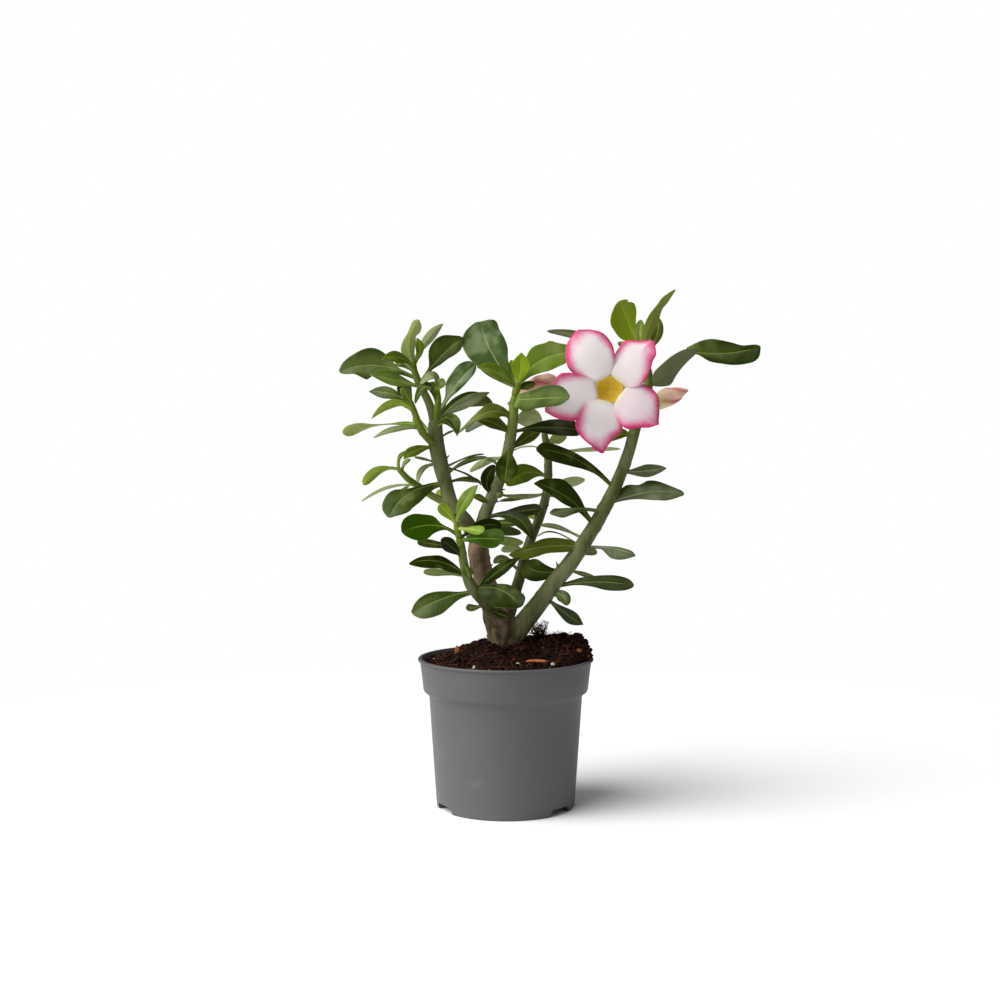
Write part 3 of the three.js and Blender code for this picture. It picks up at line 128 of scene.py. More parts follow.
# Leaves: thickness of blade and stalk, width of the stalk, how far the halves fold up, share of the thickness
# left at the margin, depth and half-width of the groove on top, and height and half-width of the rib below
BLADE_THICKNESS = 0.9
PETIOLE_THICKNESS = 1.8
PETIOLE_WIDTH = 2.2
LEAF_FOLD = 0.2
MARGIN_THICKNESS = 0.42
GROOVE_DEPTH = 0.22
GROOVE_WIDTH = 0.55
RIB_HEIGHT = 0.5
RIB_WIDTH = 0.8
LEAF_RINGS = 24
LEAF_COLUMNS = [-1, -0.94, -0.78, -0.52, -0.26, -0.08, 0, 0.08, 0.26, 0.52, 0.78, 0.94, 1]

# The eye that sees the plant from the front: its place, how far down it looks in degrees, and the length of
# its lens before a sensor 36 mm wide
EYE_X = -3.9
EYE_Z = 251.5
EYE_DISTANCE = 1000
EYE_PITCH = 2.42
EYE_LENS = 52.81

# Strength of the even light from all round and of what surfaces mirror of it, strength, width in degrees and
# place of the light from above, power, width and place of the panel at the left, the point that both light,
# and the floor's radius. Lengths are metres here.
ROOM_LIGHT = 0.25
ROOM_GLEAM = 0.06
SKY_LIGHT = 3.4
SKY_WIDTH = 60
SKY_PLACE = (-0.8, -0.4, 1.3)
KEY_POWER = 13
KEY_WIDTH = 1.2
KEY_PLACE = (-1.6, -0.6, 0.8)
LIT_POINT = Vector((0, 0, 0.2))
FLOOR_REACH = 0.62

# Stems as rows of (x, z, depth, radius). x and z are measured on the upright plane through the pot's axis, as
# seen from the front, and depth is how far behind that plane the point lies (in front of it where negative).
TRUNK = [
    (2, 84, 0, 12), (1, 98, 0, 11.2), (0, 106, 0, 10), (-1, 113, 0, 10.2), (-2.5, 121, 0, 11),
    (-5, 129, 1, 10.4), (-9, 139, 2, 8.4), (-14, 152, 2, 7.2), (-17, 164, 2, 7.1), (-18.5, 175, 1, 7.2),
    (-19.5, 184, 0, 6),
]

# Leaf forms as rows of (share of the length, half-width), with two half-widths where the halves differ: the
# clockwise one as seen from the front, then the other. They are shares of half the leaf's width.
LEAF_FORMS = {
    "plain": [(0, 0.1), (0.16, 0.25), (0.34, 0.62), (0.54, 0.95), (0.66, 1), (0.8, 0.87), (0.92, 0.58),
        (0.98, 0.3), (1, 0.05)],
    "blunt": [(0, 0.1), (0.2, 0.28), (0.4, 0.66), (0.6, 0.95), (0.76, 1), (0.9, 0.82), (0.97, 0.5),
        (1, 0.1)],
    "point": [(0, 0.1), (0.2, 0.3), (0.4, 0.7), (0.58, 0.98), (0.7, 0.98), (0.84, 0.66), (0.94, 0.28),
        (1, 0.04)],
    "lance": [(0, 0.1), (0.18, 0.35), (0.38, 0.8), (0.54, 1), (0.7, 0.92), (0.85, 0.6), (0.95, 0.26),
        (1, 0.04)],
    "scoop": [(0, 0.15), (0.15, 0.15, 0.3), (0.3, 0.15, 0.65), (0.5, 0.35, 0.95), (0.65, 0.9, 1),
        (0.8, 0.9, 1), (0.92, 0.65), (1, 0.15)],
    "paddle": [(0, 0.15), (0.3, 0.2, 0.25), (0.45, 0.45, 0.8), (0.6, 0.6, 0.95), (0.75, 0.65, 1),
        (0.88, 0.55, 0.8), (0.96, 0.35, 0.5), (1, 0.1)],
    "wavedLeft": [(0, 0.1), (0.21, 0.1, 0.25), (0.31, 0.35, 0.45), (0.42, 0.75, 0.65), (0.54, 1, 0.7),
        (0.65, 0.95, 1), (0.74, 0.8), (0.83, 0.65, 0.5), (0.93, 0.4, 0.35), (1, 0.1)],
    "waisted": [(0, 0.25), (0.15, 0.5, 0.7), (0.3, 0.65, 1), (0.5, 0.8, 0.75), (0.65, 0.65, 0.45),
        (0.8, 0.9, 0.45), (0.93, 0.7, 0.5), (1, 0.15)],
    "sail": [(0, 0.1), (0.25, 0.15), (0.4, 0.35, 0.8), (0.55, 0.45, 1), (0.7, 0.55, 0.9), (0.85, 0.5),
        (0.95, 0.25), (1, 0.05)],
    "dipper": [(0, 0.3), (0.2, 0.6, 0.5), (0.44, 0.3), (0.6, 0.5), (0.75, 0.8, 0.95), (0.88, 1, 0.95),
        (0.96, 0.75, 0.7), (1, 0.25)],
    "longStalk": [(0, 0.1), (0.25, 0.1), (0.4, 0.2, 0.35), (0.52, 0.6), (0.65, 0.75, 0.95), (0.8, 0.9, 1),
        (0.92, 0.75, 0.7), (0.98, 0.4, 0.35), (1, 0.1)],
    "droop": [(0, 0.25), (0.15, 0.25, 0.4), (0.3, 0.45, 0.8), (0.5, 0.75, 0.9), (0.65, 0.6, 1),
        (0.8, 0.5, 0.9), (0.92, 0.3, 0.55), (1, 0.1)],
    "deepBelly": [(0, 0.15), (0.25, 0.15, 0.35), (0.45, 0.45, 0.75), (0.6, 0.65, 1), (0.75, 0.7, 1),
        (0.88, 0.55, 0.85), (0.96, 0.3, 0.55), (1, 0.15)],
    "broadLow": [(0, 0.1), (0.15, 0.4, 0.15), (0.3, 0.7, 0.15), (0.5, 0.9, 0.3), (0.65, 1, 0.45),
        (0.8, 0.9, 0.5), (0.92, 0.6, 0.5), (1, 0.15)],
    "broadFoot": [(0, 0.45, 0.35), (0.15, 0.65, 0.45), (0.35, 1, 0.6), (0.5, 0.8), (0.65, 0.7, 0.9),
        (0.8, 0.65, 0.85), (0.92, 0.55), (1, 0.15)],
    "tongue": [(0, 0.25), (0.15, 0.5, 0.25), (0.3, 0.75, 0.6), (0.45, 1), (0.6, 0.7, 0.75), (0.8, 0.3),
        (1, 0.05)],
    "crown": [(0, 0.1), (0.15, 0.2, 0.35), (0.35, 0.45, 0.7), (0.5, 0.7, 0.85), (0.65, 0.75, 1),
        (0.8, 0.7, 1), (0.92, 0.7), (0.98, 0.6, 0.35), (1, 0.4, 0.2)],
    "folded": [(0, 0.15), (0.2, 0.4), (0.35, 0.65), (0.5, 0.85, 1), (0.65, 0.85, 0.9), (0.72, 0.8, 0.95),
        (0.8, 0.75, 0.7), (0.92, 0.5, 0.45), (1, 0.1)],
    "clubbed": [(0, 0.15), (0.2, 0.35, 0.15), (0.35, 0.45), (0.5, 0.5, 0.8), (0.65, 0.55, 1),
        (0.8, 0.65, 1), (0.92, 0.6, 0.85), (1, 0.15)],
    "archedPoint": [(0, 0.15), (0.2, 0.25), (0.35, 0.6, 0.4), (0.5, 0.85, 0.6), (0.65, 1, 0.6),
        (0.8, 0.7, 0.45), (0.92, 0.4, 0.25), (1, 0.05)],
    "creased": [(0, 0.15), (0.1, 0.15, 0.4), (0.25, 0.3, 1), (0.4, 0.5, 0.75), (0.5, 0.65, 1),
        (0.62, 0.75, 0.9), (0.75, 0.8, 0.6), (0.88, 0.55, 0.35), (0.96, 0.25), (1, 0.1)],
    "hanging": [(0, 0.15), (0.3, 0.15), (0.4, 0.55, 0.15), (0.5, 0.9, 0.2), (0.62, 1, 0.25),
        (0.75, 0.9, 0.25), (0.88, 0.6, 0.25), (1, 0.05)],
    "paddleSlim": [(0, 0.15), (0.2, 0.15, 0.35), (0.35, 0.3, 0.65), (0.5, 0.6, 0.75), (0.62, 0.9, 0.85),
        (0.75, 1, 0.95), (0.88, 0.85, 0.8), (0.96, 0.5), (1, 0.15)],
    "keel": [(0, 0.3), (0.12, 0.6, 0.5), (0.25, 0.8, 0.75), (0.4, 0.95, 0.8), (0.55, 0.9, 0.8),
        (0.7, 0.55, 1), (0.85, 0.35, 1), (0.95, 0.25, 0.65), (1, 0.1)],
    "clubLow": [(0, 0.25), (0.3, 0.25), (0.5, 0.25, 0.5), (0.65, 0.25, 0.75), (0.8, 0.35, 1),
        (0.9, 0.5, 0.95), (1, 0.2)],
    "notched": [(0, 0.1), (0.2, 0.15, 0.35), (0.35, 0.25, 0.8), (0.5, 0.45, 0.95), (0.65, 0.7, 1),
        (0.8, 0.75), (0.87, 0.6, 0.55), (0.91, 0.4, 0.45), (0.96, 0.45, 0.3), (1, 0.2, 0.1)],
    "waist": [(0, 0.3), (0.3, 0.9, 0.65), (0.5, 1, 0.75), (0.68, 0.55), (0.8, 0.65, 0.6), (0.92, 0.4, 0.35),
        (1, 0.1)],
    "turnedFoot": [(0, 0.15), (0.2, 0.7), (0.35, 0.95, 0.85), (0.5, 0.65, 0.95), (0.65, 0.4, 1),
        (0.8, 0.25, 0.9), (0.92, 0.2, 0.65), (1, 0.15, 0.3)],
    "turnedEnd": [(0, 0.15, 0.25), (0.15, 0.15, 0.8), (0.3, 0.55, 1), (0.45, 0.7, 0.9), (0.6, 0.85, 0.7),
        (0.75, 0.9, 0.4), (0.88, 0.85, 0.3), (0.96, 0.55, 0.2), (1, 0.05)],
}

# The stems of each shoot, in rows as above
STEMS = {
    "left_stem": [
        [(-19.5, 180, 0, 5), (-24, 190, -1, 5.2), (-31, 199, -1, 5), (-37, 207, 0, 4.8), (-40, 217, 2, 4.6),
         (-43, 228, 4, 5.2), (-45.5, 238, 6, 5.4), (-47.5, 249, 8, 5.6), (-48, 258, 9, 5.2),
         (-47, 265, 10, 3.8)],
    ],
    "left_shoot_upper": [
        [(-48, 254, 9, 2.8), (-50, 268, 10, 3), (-52.5, 276, 10, 2.8), (-56.5, 284, 9, 2.6),
         (-60, 291, 8, 2.5), (-62.5, 299, 7, 2.2), (-63, 305, 6, 1.8)],
    ],
    "left_shoot_young": [
        [(-47, 262, 9, 2.2), (-46.5, 270, 4, 2.4), (-46, 278, 0, 2.2), (-47, 286, -2, 1.6)],
    ],
    "left_shoot_outer": [
        [(-47.5, 246, 7, 2.2), (-54, 252, 0, 2.4), (-58.5, 259, -4, 2.4), (-61, 266, -6, 2.2),
         (-64, 274, -7, 2), (-66, 279, -8, 1.5)],
    ],
    "side_shoot": [
        [(-33, 201, -1, 2.4), (-41, 207, 2, 2.5), (-51, 212.5, 5, 2.5), (-60, 219, 3, 2.4),
         (-67, 224, -1, 2.2), (-73.5, 231, -4, 1.8)],
    ],
    "front_shoot": [
        [(-6, 126, -1, 3.8), (-12.5, 137, -11, 4.4), (-19, 145, -19, 4.2), (-24, 151, -24, 3.8),
         (-27, 159, -27, 3.2), (-29, 168, -29, 2.9), (-30.5, 178, -31, 2.7), (-32, 184, -32, 2.5)],
    ],
    "front_shoot_tip": [
        [(-32, 184, -32, 2.2), (-33, 189, -33, 2.3), (-34, 195, -34, 1.7)],
    ],
    "middle_stem": [
        [(-19, 178, 0, 4), (-17.5, 189, 4, 4.6), (-15, 197, 5, 4.4), (-11, 208, 4, 4.2),
         (-7.5, 216, 2, 4.2), (-3, 226, -2, 4), (0, 236, -6, 3.8), (2.5, 247, -9, 3.8), (4, 256, -10, 3.6),
         (5, 264, -11, 3.4), (5.5, 272, -11, 3.2), (6.5, 281, -11, 2.8)],
        [(-8, 214, 2, 2.8), (-1.5, 213, 0, 2.6)],
    ],
    "middle_stem_tip": [
        [(6.3, 280, -11, 2.4), (7.5, 285, -11, 2.6), (9, 290, -11, 1.8)],
    ],
    "back_stem": [
        [(-1, 120, 3, 4.2), (3, 133, 12, 4.4), (6.5, 146, 18, 4.1), (10, 158, 23, 3.8),
         (13.5, 172, 28, 3.6), (18.5, 186, 32, 3.4), (23, 197, 35, 3.3), (26.5, 208, 38, 3.2),
         (28.5, 220, 41, 3), (29, 233, 43, 2.9), (28, 245, 44, 2.7), (26, 256, 44, 2.2)],
    ],
    "right_stem": [
        [(2, 112, 0, 7), (9, 121, -1, 7), (16, 130, -2, 6.6), (24, 140, -2, 6.2), (31, 150, -2, 5.8),
         (44, 166, -1, 5.5), (56, 184, 0, 5), (66, 201, 1, 4.7), (75.5, 220, 2, 4.3), (83.5, 241, 4, 4),
         (89, 261, 6, 3.8), (94, 276, 8, 3.6), (97, 290, 10, 3.3), (95, 302, 11, 3), (93, 310, 11, 2.4)],
        [(93, 272, 7, 2.2), (89, 276, 2, 2.2), (85, 279.5, -3, 3.6), (83.5, 280, -5, 3.8)],
        [(93, 272, 7, 1.8), (94, 272, -2, 2.2), (95.2, 272.8, -5.4, 2.8)],
        [(95, 302, 11, 2), (84, 303, 13, 1.8), (70, 297, 13, 1.8), (56, 290.5, 12, 1.8), (44, 288, 11.4, 2),
         (39.6, 288, 11.2, 2.6)],
    ],
}

# The leaves of each shoot, as rows of (x, z at the root, x, z halfway, x, z at the tip, depth of the tip,
# width, face, tone), then a form where it isn't the plain one, and the twist of a twisted leaf. face is the
# turn of the blade round its midrib: 0 has its upper side up, 90 to the front, -90 away.
LEAVES = {
    "left_stem": [
        (-44, 219, -65.5, 214, -79.5, 197.5, -26, 20.5, 70, "dark", "scoop"),
        (-52, 244, -60.5, 243.5, -69.5, 237, -14, 8.5, 60, "mid", "point"),
        (-49, 233, -55, 237, -62, 238.5, 12, 3.5, 30, "dark"),
        (-46, 234, -56, 231, -60, 221, -16, 4, 80, "pale"),
        (-39, 232, -27, 238, -15, 240.5, 14, 3, 20, "dark"),
        (-38, 225, -29, 234.5, -13, 238.5, -2, 4.5, 45, "deep"),
        (-40, 233, -28, 227.5, -16.5, 219.5, 24, 3, 20, "dark"),
        (-39, 222, -28, 223.5, -17, 221, 14, 5, -50, "deep"),
        (-48, 260, -38.5, 265, -33, 253, -22, 11, 45, "dark", "point", 10),
        (-48, 256, -42, 262, -35, 257, -8, 7, 30, "mid"),
        (-44, 249, -41, 254, -35, 256.5, 8, 4, 20, "mid"),
        (-46, 264.5, -34.5, 286.5, -20.5, 301.5, -2, 16, 75, "sheen", "paddle"),
        (-46, 264, -29.5, 274.5, -11, 282.5, 14, 8.5, 60, "pale", "lance", 20),
        (-46, 264.5, -29, 277, -9, 274, 28, 12, -60, "deep"),
        (-52, 252, -58, 261, -63, 265, 16, 5, 90, "fresh"),
        (-46, 256, -44, 266, -43, 275, 36, 8, 80, "mid"),
        (-42, 228, -45.5, 240, -46.5, 250, 34, 9, 80, "dark"),
    ],
    "left_shoot_upper": [
        (-60.5, 292, -87.5, 301, -113, 296.5, 2, 24, 65, "dark", "wavedLeft"),
        (-59, 285, -74.5, 291, -92, 294.5, -20, 12.5, 50, "fresh", "point"),
        (-64.5, 299, -72, 306, -84, 305, -14, 8.5, 70, "mid", "point"),
        (-63.5, 302, -65.5, 317, -59, 331.5, -4, 11.5, -85, "fresh", "waisted"),
        (-63, 300.5, -58.5, 310.5, -60.5, 319.5, 8, 6, 95, "mid", "point"),
        (-61.5, 303.5, -53, 318.5, -42.5, 329, 24, 7, -75, "pale", "lance"),
        (-57.5, 288.5, -43.5, 307.5, -28.5, 319, -8, 22, 80, "deep", "sail"),
        (-61, 295, -69, 302.5, -75, 304, 34, 9, 80, "dark"),
        (-56, 284, -51, 286, -45, 285, 38, 8, 80, "lime"),
    ],
    "left_shoot_young": [
        (-46.5, 272, -53.5, 287, -61.5, 275, -26, 9, 35, "dark"),
        (-46, 279, -48, 293, -58, 288, -12, 9, 40, "pale"),
        (-46.5, 284, -44, 288, -43.5, 292, -16, 6, 80, "fresh"),
    ],
    "left_shoot_outer": [
        (-64, 275, -78, 281.5, -93, 283, -2, 9, 70, "dark", "point"),
        (-63, 270, -76.5, 275, -91.5, 264.5, -20, 6, -70, "lime", "lance"),
        (-64, 273, -66.5, 279, -71, 285, -24, 6.5, 85, "mid"),
        (-62, 270, -68, 283, -71, 289.5, 20, 10, 85, "deep"),
        (-59.5, 260.5, -85.5, 260.5, -111, 255, -12, 8.5, 60, "fresh", "dipper", -140),
        (-58, 257, -73.5, 258, -90, 251.5, -28, 6, 40, "pale", "lance"),
        (-62, 268, -70, 275, -78, 280, 26, 7, 45, "mid"),
    ],
    "side_shoot": [
        (-74.5, 228.5, -86.5, 229.5, -97, 219.5, -16, 7, -75, "lime", "blunt"),
        (-73, 230, -72.5, 238, -68, 242, -2, 3, 80, "mid"),
        (-71, 228, -69, 234, -65, 237, 6, 3.5, 60, "pale"),
        (-60, 219, -79, 218, -98, 208.5, 6, 6, 20, "pale"),
        (-44, 209, -45, 213, -46, 216, 10, 4.5, 85, "lime"),
        (-64, 221.5, -73, 212, -77, 204, 26, 8, 45, "mid"),
        (-56, 216, -62, 210, -68, 208, 24, 11, 60, "mid"),
    ],
    "front_shoot": [
        (-31, 182, -15.5, 183, -1.5, 182, -52, 14, 60, "bright", "blunt"),
        (-31.5, 182.5, -18, 191, -3, 192, -17, 9, 60, "black", "blunt"),
        (-32, 184.5, -48.5, 192, -71, 187.5, -42, 19.5, 75, "bright", "longStalk"),
        (-30, 175, -46, 178.5, -60.5, 180.5, -30, 6, 60, "deep", "blunt"),
        (-29.5, 170, -37, 177, -44, 182.5, -44, 9.5, 80, "black"),
        (-26, 156, -45, 167, -66, 165.5, -36, 11.5, 60, "deep", "droop"),
        (-26.5, 157, -44, 159.5, -56, 159.5, -14, 6, -60, "dark", "blunt"),
        (-28.5, 166, -26.5, 161, -24, 154.5, -46, 7, 90, "deep", "point"),
        (-20.5, 145.5, -42.5, 142, -64, 131.5, -30, 19.5, 65, "dark", "deepBelly"),
        (-15.5, 135.5, -21.5, 135.5, -27, 136.5, -24, 5, 70, "pale", "blunt"),
        (-20, 149, -4, 148, 10, 136, -44, 25.5, 70, "deep", "broadLow"),
        (-20, 147, -7, 159, 10, 170, -30, 8, 80, "deep", "lance"),
        (-12, 136, -4, 131, 4, 129, -28, 6, 65, "black", "point"),
    ],
    "front_shoot_tip": [
        (-32.5, 191.5, -39, 199.5, -46, 205.5, -42, 7.5, 90, "lime", "blunt"),
        (-32.5, 190, -23, 189, -15, 188, -58, 7, 50, "fresh", "blunt"),
        (-32.5, 193, -28.5, 207.5, -19, 219.5, -34, 8.5, 85, "fresh", "lance"),
    ],
    "middle_stem": [
        (2, 278.5, 22.5, 278.5, 43, 279, -54, 20, 65, "dark", "broadFoot"),
        (4, 263, -10.5, 269.5, -33, 254, -30, 13, 50, "olive", "tongue"),
        (3.5, 253, -7, 261, -21, 265, -20, 9, 60, "olive"),
        (4, 256, -12, 265, -27, 255.5, -10, 10, 60, "grey"),
        (5, 256, 29, 259, 53, 256, -18, 13, 60, "black", "blunt"),
        (2, 243, 13, 251, 24, 258, -2, 9, 80, "olive"),
        (1.5, 241, 12, 245.5, 25, 244.5, -14, 4, 5, "pale"),
        (0.5, 239, -12, 236, -24.5, 228.5, 0, 5.5, -70, "pale"),
        (-2, 229, -11, 237, -17.5, 232, -18, 3.5, 50, "pale"),
        (2.5, 244, 1, 234, -1, 221, -36, 15, 90, "deep"),
        (-9, 212, -13, 222, -7.5, 233, -16, 9, 90, "black"),
        (-11, 207, -16, 210, -22, 211, -16, 6, 50, "mid"),
        (-8, 214, 8, 211.5, 25, 213, 6, 6, 30, "pale"),
        (-13, 196.5, 7.5, 201, 24, 203, -10, 10, 50, "black", "blunt"),
        (-15, 196, 6, 197.5, 18.5, 181, -22, 10.5, 65, "black", "point"),
        (-16, 193, -3, 193.5, 9, 193, -12, 6, 55, "deep"),
        (-17, 188, -3, 188, 10.5, 186.5, 8, 8, -55, "black"),
        (-17.5, 186, -2, 181.5, 12, 180, 12, 7, -70, "fresh"),
        (5, 262, 14, 263.5, 24, 261, 32, 10, -75, "pale"),
        (1, 240, 3, 250, 4.5, 261, 30, 8, 80, "olive"),
    ],
    "middle_stem_tip": [
        (7.5, 286, -8.5, 307.5, -17.5, 330.5, -2, 32, 85, "sheen", "crown"),
        (7.5, 285, -4, 295.5, -19.5, 299.5, -26, 13, 45, "mid", "lance"),
        (8.5, 287, 10, 297.5, 10.5, 309.5, -14, 12.5, 90, "lime", "point"),
        (8, 288, 6, 296, 3.5, 304.5, -6, 5.5, 90, "lime"),
        (11.5, 286.5, 23.5, 304, 48, 310, 0, 21.5, 78, "fresh", "folded"),
        (8.5, 287, 15.5, 298, 18, 307, 12, 6, 85, "grey"),
        # This small leaf sits where the shadow under the leaf above falls, and also stands in for that shade
        (7.5, 285, 13, 286.5, 20, 289, -6, 7, 60, "olive"),
    ],
    "back_stem": [
        (28.5, 225, 14, 228, 1, 219, 16, 14, 75, "mid"),
        (10.5, 159, 0, 168, -8, 166, 8, 7, 60, "pale"),
        (13, 172, 6, 176, -3, 175, 14, 8, -60, "pale"),
        (28, 219, 41, 221, 54, 223, 46, 7.5, -75, "pale"),
        (28, 241, 55, 243.5, 78, 244, 50, 5, -40, "pale"),
        (28, 246, 34, 251, 41.5, 252, 48, 9, -75, "fresh"),
        (26, 256, 19, 266, 8, 264, 28, 11, -70, "pale"),
        (27, 213, 12, 211, -4, 208.5, 18, 6, 25, "dark"),
        (27, 212, 36, 213, 44, 209, 82, 9, 70, "mid"),
        (21, 193, 17, 199, 8, 202, 74, 7, 65, "mid"),
        (26.5, 254, 31, 257, 40, 257, 78, 8, 70, "mid"),
        (14, 174, 18, 176, 27, 177, 66, 9, 60, "mid"),
    ],
    "right_stem": [
        (73, 216, 47, 237.5, 21, 243.5, -22, 16, 60, "deep", "clubbed"),
        (61, 192, 42, 211, 19.5, 220.5, -22, 18, 70, "deep", "archedPoint"),
        (79.5, 228.5, 94.5, 229, 109.5, 231, -10, 9.5, 60, "grey", "lance"),
        (74, 206.5, 97.5, 214.5, 121.5, 213, -8, 17.5, 60, "grey", "creased"),
        (49, 177.5, 73, 176, 88.5, 171, -14, 15.5, 60, "grey", "hanging"),
        (49, 173, 57, 173.5, 62, 174.5, 16, 6, 60, "pale"),
        (31.5, 149, 60.5, 153, 87.5, 150.5, -14, 12, 60, "deep", "paddleSlim"),
        (40, 161, 51, 159, 62, 156, 14, 4, 50, "pale"),
        (26.5, 143, 41, 131.5, 53, 124, -26, 9, 80, "black", "point"),
        (29, 147, 38, 144, 41.5, 137, -12, 9, 70, "dark"),
        (49, 177.5, 28.5, 177.5, 2.5, 171.5, -18, 13, 60, "olive", "keel"),
        (40, 161, 24.5, 160, 12.5, 165.5, 6, 15.5, 80, "deep", "blunt"),
        (53, 180, 37, 190, 23.5, 192, 14, 5, 40, "pale"),
        (52, 178, 34, 187, 22, 184.5, 22, 3, 10, "pale"),
        (65, 199, 48.5, 203, 30.5, 200, -30, 11.5, 50, "grey", "clubLow"),
        (86, 250, 78, 254, 69, 249, -2, 7, 60, "olive"),
        (86, 251, 80, 256, 75.5, 253, -12, 4.5, 60, "mid"),
        (93, 308, 83.5, 329, 77.5, 344.5, 0, 23.5, 85, "lime", "notched"),
        (94, 309.5, 100, 333, 115, 352, 6, 10.5, -80, "olive", "waist", 40),
        (94, 307, 102, 320, 103, 333, 18, 8, 85, "olive"),
        (93, 308, 91, 321, 92, 331.5, 22, 7, 85, "fresh"),
        (95, 300, 85, 311, 76.5, 316.5, 30, 7, 60, "dark"),
        (70, 297, 60, 316, 28, 324, 26, 7, 70, "grey"),
        (66, 201, 70.5, 211, 75.5, 221, 44, 8, 75, "olive"),
        (82, 236, 85.5, 248, 88.5, 260, 42, 8, 75, "olive"),
        (96, 288, 92, 300, 86, 312, 48, 14, 75, "mid"),
        (45, 167, 49.5, 175, 56, 185.5, 42, 9, 75, "olive"),
    ],
}

# The long leaf at the right end turns over halfway: two blades of one leaf, as (x, z, depth) at root, middle
# and tip, then width, face, tone, form and twist
TURNED_LEAF = [
    ((99, 288, 9), (112.5, 297, 6), (130, 311, 2), 17, -75, "grey", "turnedFoot", 10),
    ((122.5, 310.5, 4), (149, 309, -2), (173, 313.5, -8), 20.5, 75, "deep", "turnedEnd", 0),
]

# How far each shoot's skin has aged from young green (0) to old grey (1), at its foot and at its tip
SKIN_AGE = {
    "left_stem": (0.95, 0.35),
    "left_shoot_upper": (0.45, 0.2),
    "left_shoot_young": (0.1, 0),
    "left_shoot_outer": (0.2, 0.05),
    "side_shoot": (0.3, 0.05),
    "front_shoot": (0.85, 0.15),
    "front_shoot_tip": (0.1, 0),
    "middle_stem": (0.9, 0.1),
    "middle_stem_tip": (0.15, 0),
    "back_stem": (0.75, 0.35),
    "right_stem": (0.62, 0.3),
}

# Each tone of leaf: upper side, its lighter patches (painted sheen, standing in for glossy highlights),
# underside and midrib as screen colours from 0 to 255, how much painted sheen lightens the middle of the
# upper side, and the leaf's gloss
TONES = {
    "black": ((24, 33, 0), (54, 63, 22), (74, 86, 42), (90, 102, 44), 0.1, 0.07),
    "deep": ((30, 43, 0), (82, 94, 38), (86, 96, 40), (118, 136, 58), 0.3, 0.09),
    "bright": ((38, 66, 0), (84, 110, 24), (104, 122, 48), (128, 158, 52), 0.1, 0.04),
    "dark": ((42, 61, 0), (112, 126, 68), (96, 108, 50), (140, 158, 80), 0.4, 0.2),
    "sheen": ((44, 72, 0), (142, 157, 112), (110, 122, 66), (176, 194, 120), 0.95, 0.35),
    "grey": ((52, 66, 14), (106, 115, 80), (96, 106, 70), (140, 152, 98), 0.4, 0.22),
    "olive": ((76, 87, 16), (112, 121, 60), (136, 146, 54), (146, 154, 80), 0.25, 0.2),
    "mid": ((88, 113, 2), (128, 142, 68), (138, 152, 74), (156, 174, 74), 0.25, 0.22),
    "fresh": ((98, 128, 8), (154, 170, 98), (144, 158, 84), (178, 196, 100), 0.4, 0.32),
    "lime": ((128, 155, 0), (164, 180, 76), (146, 168, 62), (186, 202, 80), 0.25, 0.22),
    "pale": ((116, 129, 72), (156, 164, 126), (172, 186, 126), (174, 184, 136), 0.3, 0.22),
}

# Flower: centre as seen, depth of its face, and each petal's direction, the width of its two coloured
# margins, how far it blushes pink, and rows of (distance from the centre, half-width on its anticlockwise
# side, half-width on its clockwise side)
FLOWER_CENTRE = (70.8, 284.6)
FLOWER_DEPTH = -32
FLOWER_SIDES = 64
THROAT_RADIUS = 8.6
THROAT_DEPTH = 10.5
PETAL_FOOT = (7.5, 4.8, 5.6)
PETALS = [
    (120, (4.4, 3.4), 0.15, [
        (8, 5, 6), (16, 12, 13), (25, 16.5, 16), (34, 14, 14.5), (40, 9.5, 9), (43.5, 2.5, 3)]),
    (50, (3, 4.8), 0.5, [
        (8, 6, 8), (15, 11, 14), (25, 13, 13), (32, 12.2, 9.8), (37, 6, 8.5), (42, 0.5, 3.5)]),
    (-35, (4, 5), 1, [
        (8, 7, 8), (17, 16, 14), (24, 16.5, 15), (30, 14, 10), (36, 6.5, 5.5), (39, 1.5, 1.5)]),
    (-107, (4.4, 4.6), 0.2, [
        (8, 5, 8), (14, 11, 12.5), (23, 16, 15), (30, 12.5, 14.5), (36, 10, 8), (41, 9, -5)]),
    (190, (4.2, 4.6), 0.2, [
        (8, 6, 7), (16, 12, 12.5), (25, 16.4, 15.5), (31, 15.2, 15.5), (37, 13, 9), (43.5, 8, -4)]),
]
PETAL_THICKNESS = 0.9
PETAL_LIFT = 2.2
PETAL_RINGS = 30
PETAL_COLUMNS = 21

# The last rings of a petal round its end off: (share of the width, distance beyond the end)
PETAL_END = [(1, 0), (0.82, 0.5), (0.45, 0.8)]
FLOWER_TUBE = [(73, 284, -20.4, 3.8), (78, 282.5, -12, 3.2), (83.28, 280.07, -5.25, 2.8)]
TUBE_RINGS = 14

# Buds in rows as above, with the furled petals as ridges, which turn by BUD_TURN radians from foot to tip
BUD_RIGHT = [(96.6, 273.4, -7.5, 3.2), (101, 275, -10, 4.6), (106, 277, -11, 6), (111, 279.5, -12, 6.2),
             (117, 281.8, -12, 4.6), (122, 283.4, -12, 1.8), (124, 284, -12, 0.7)]
BUD_LEFT = [(38.8, 288.3, 11, 2.4), (34, 289, 11, 4.2), (28.5, 289.5, 10, 6), (22, 287.5, 10, 6.5),
            (15, 283, 9, 5), (8, 278.5, 8, 3), (3, 275.5, 8, 1.4), (1, 274.5, 8, 0.7)]
BUD_RIDGES = 3
BUD_RIDGE_HEIGHT = 0.1
BUD_TURN = 4.4
BUD_RINGS = 44
BUD_SIDES = 40


def axis_of_pot():
    low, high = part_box("pot")
    return Vector(((low.x + high.x) / 2, (low.y + high.y) / 2, 0))


POT_AXIS = axis_of_pot()


def in_frame(point):
    """A point in millimetres round the pot's axis, as metres in the part's own frame."""
    return POT_AXIS + point * MM


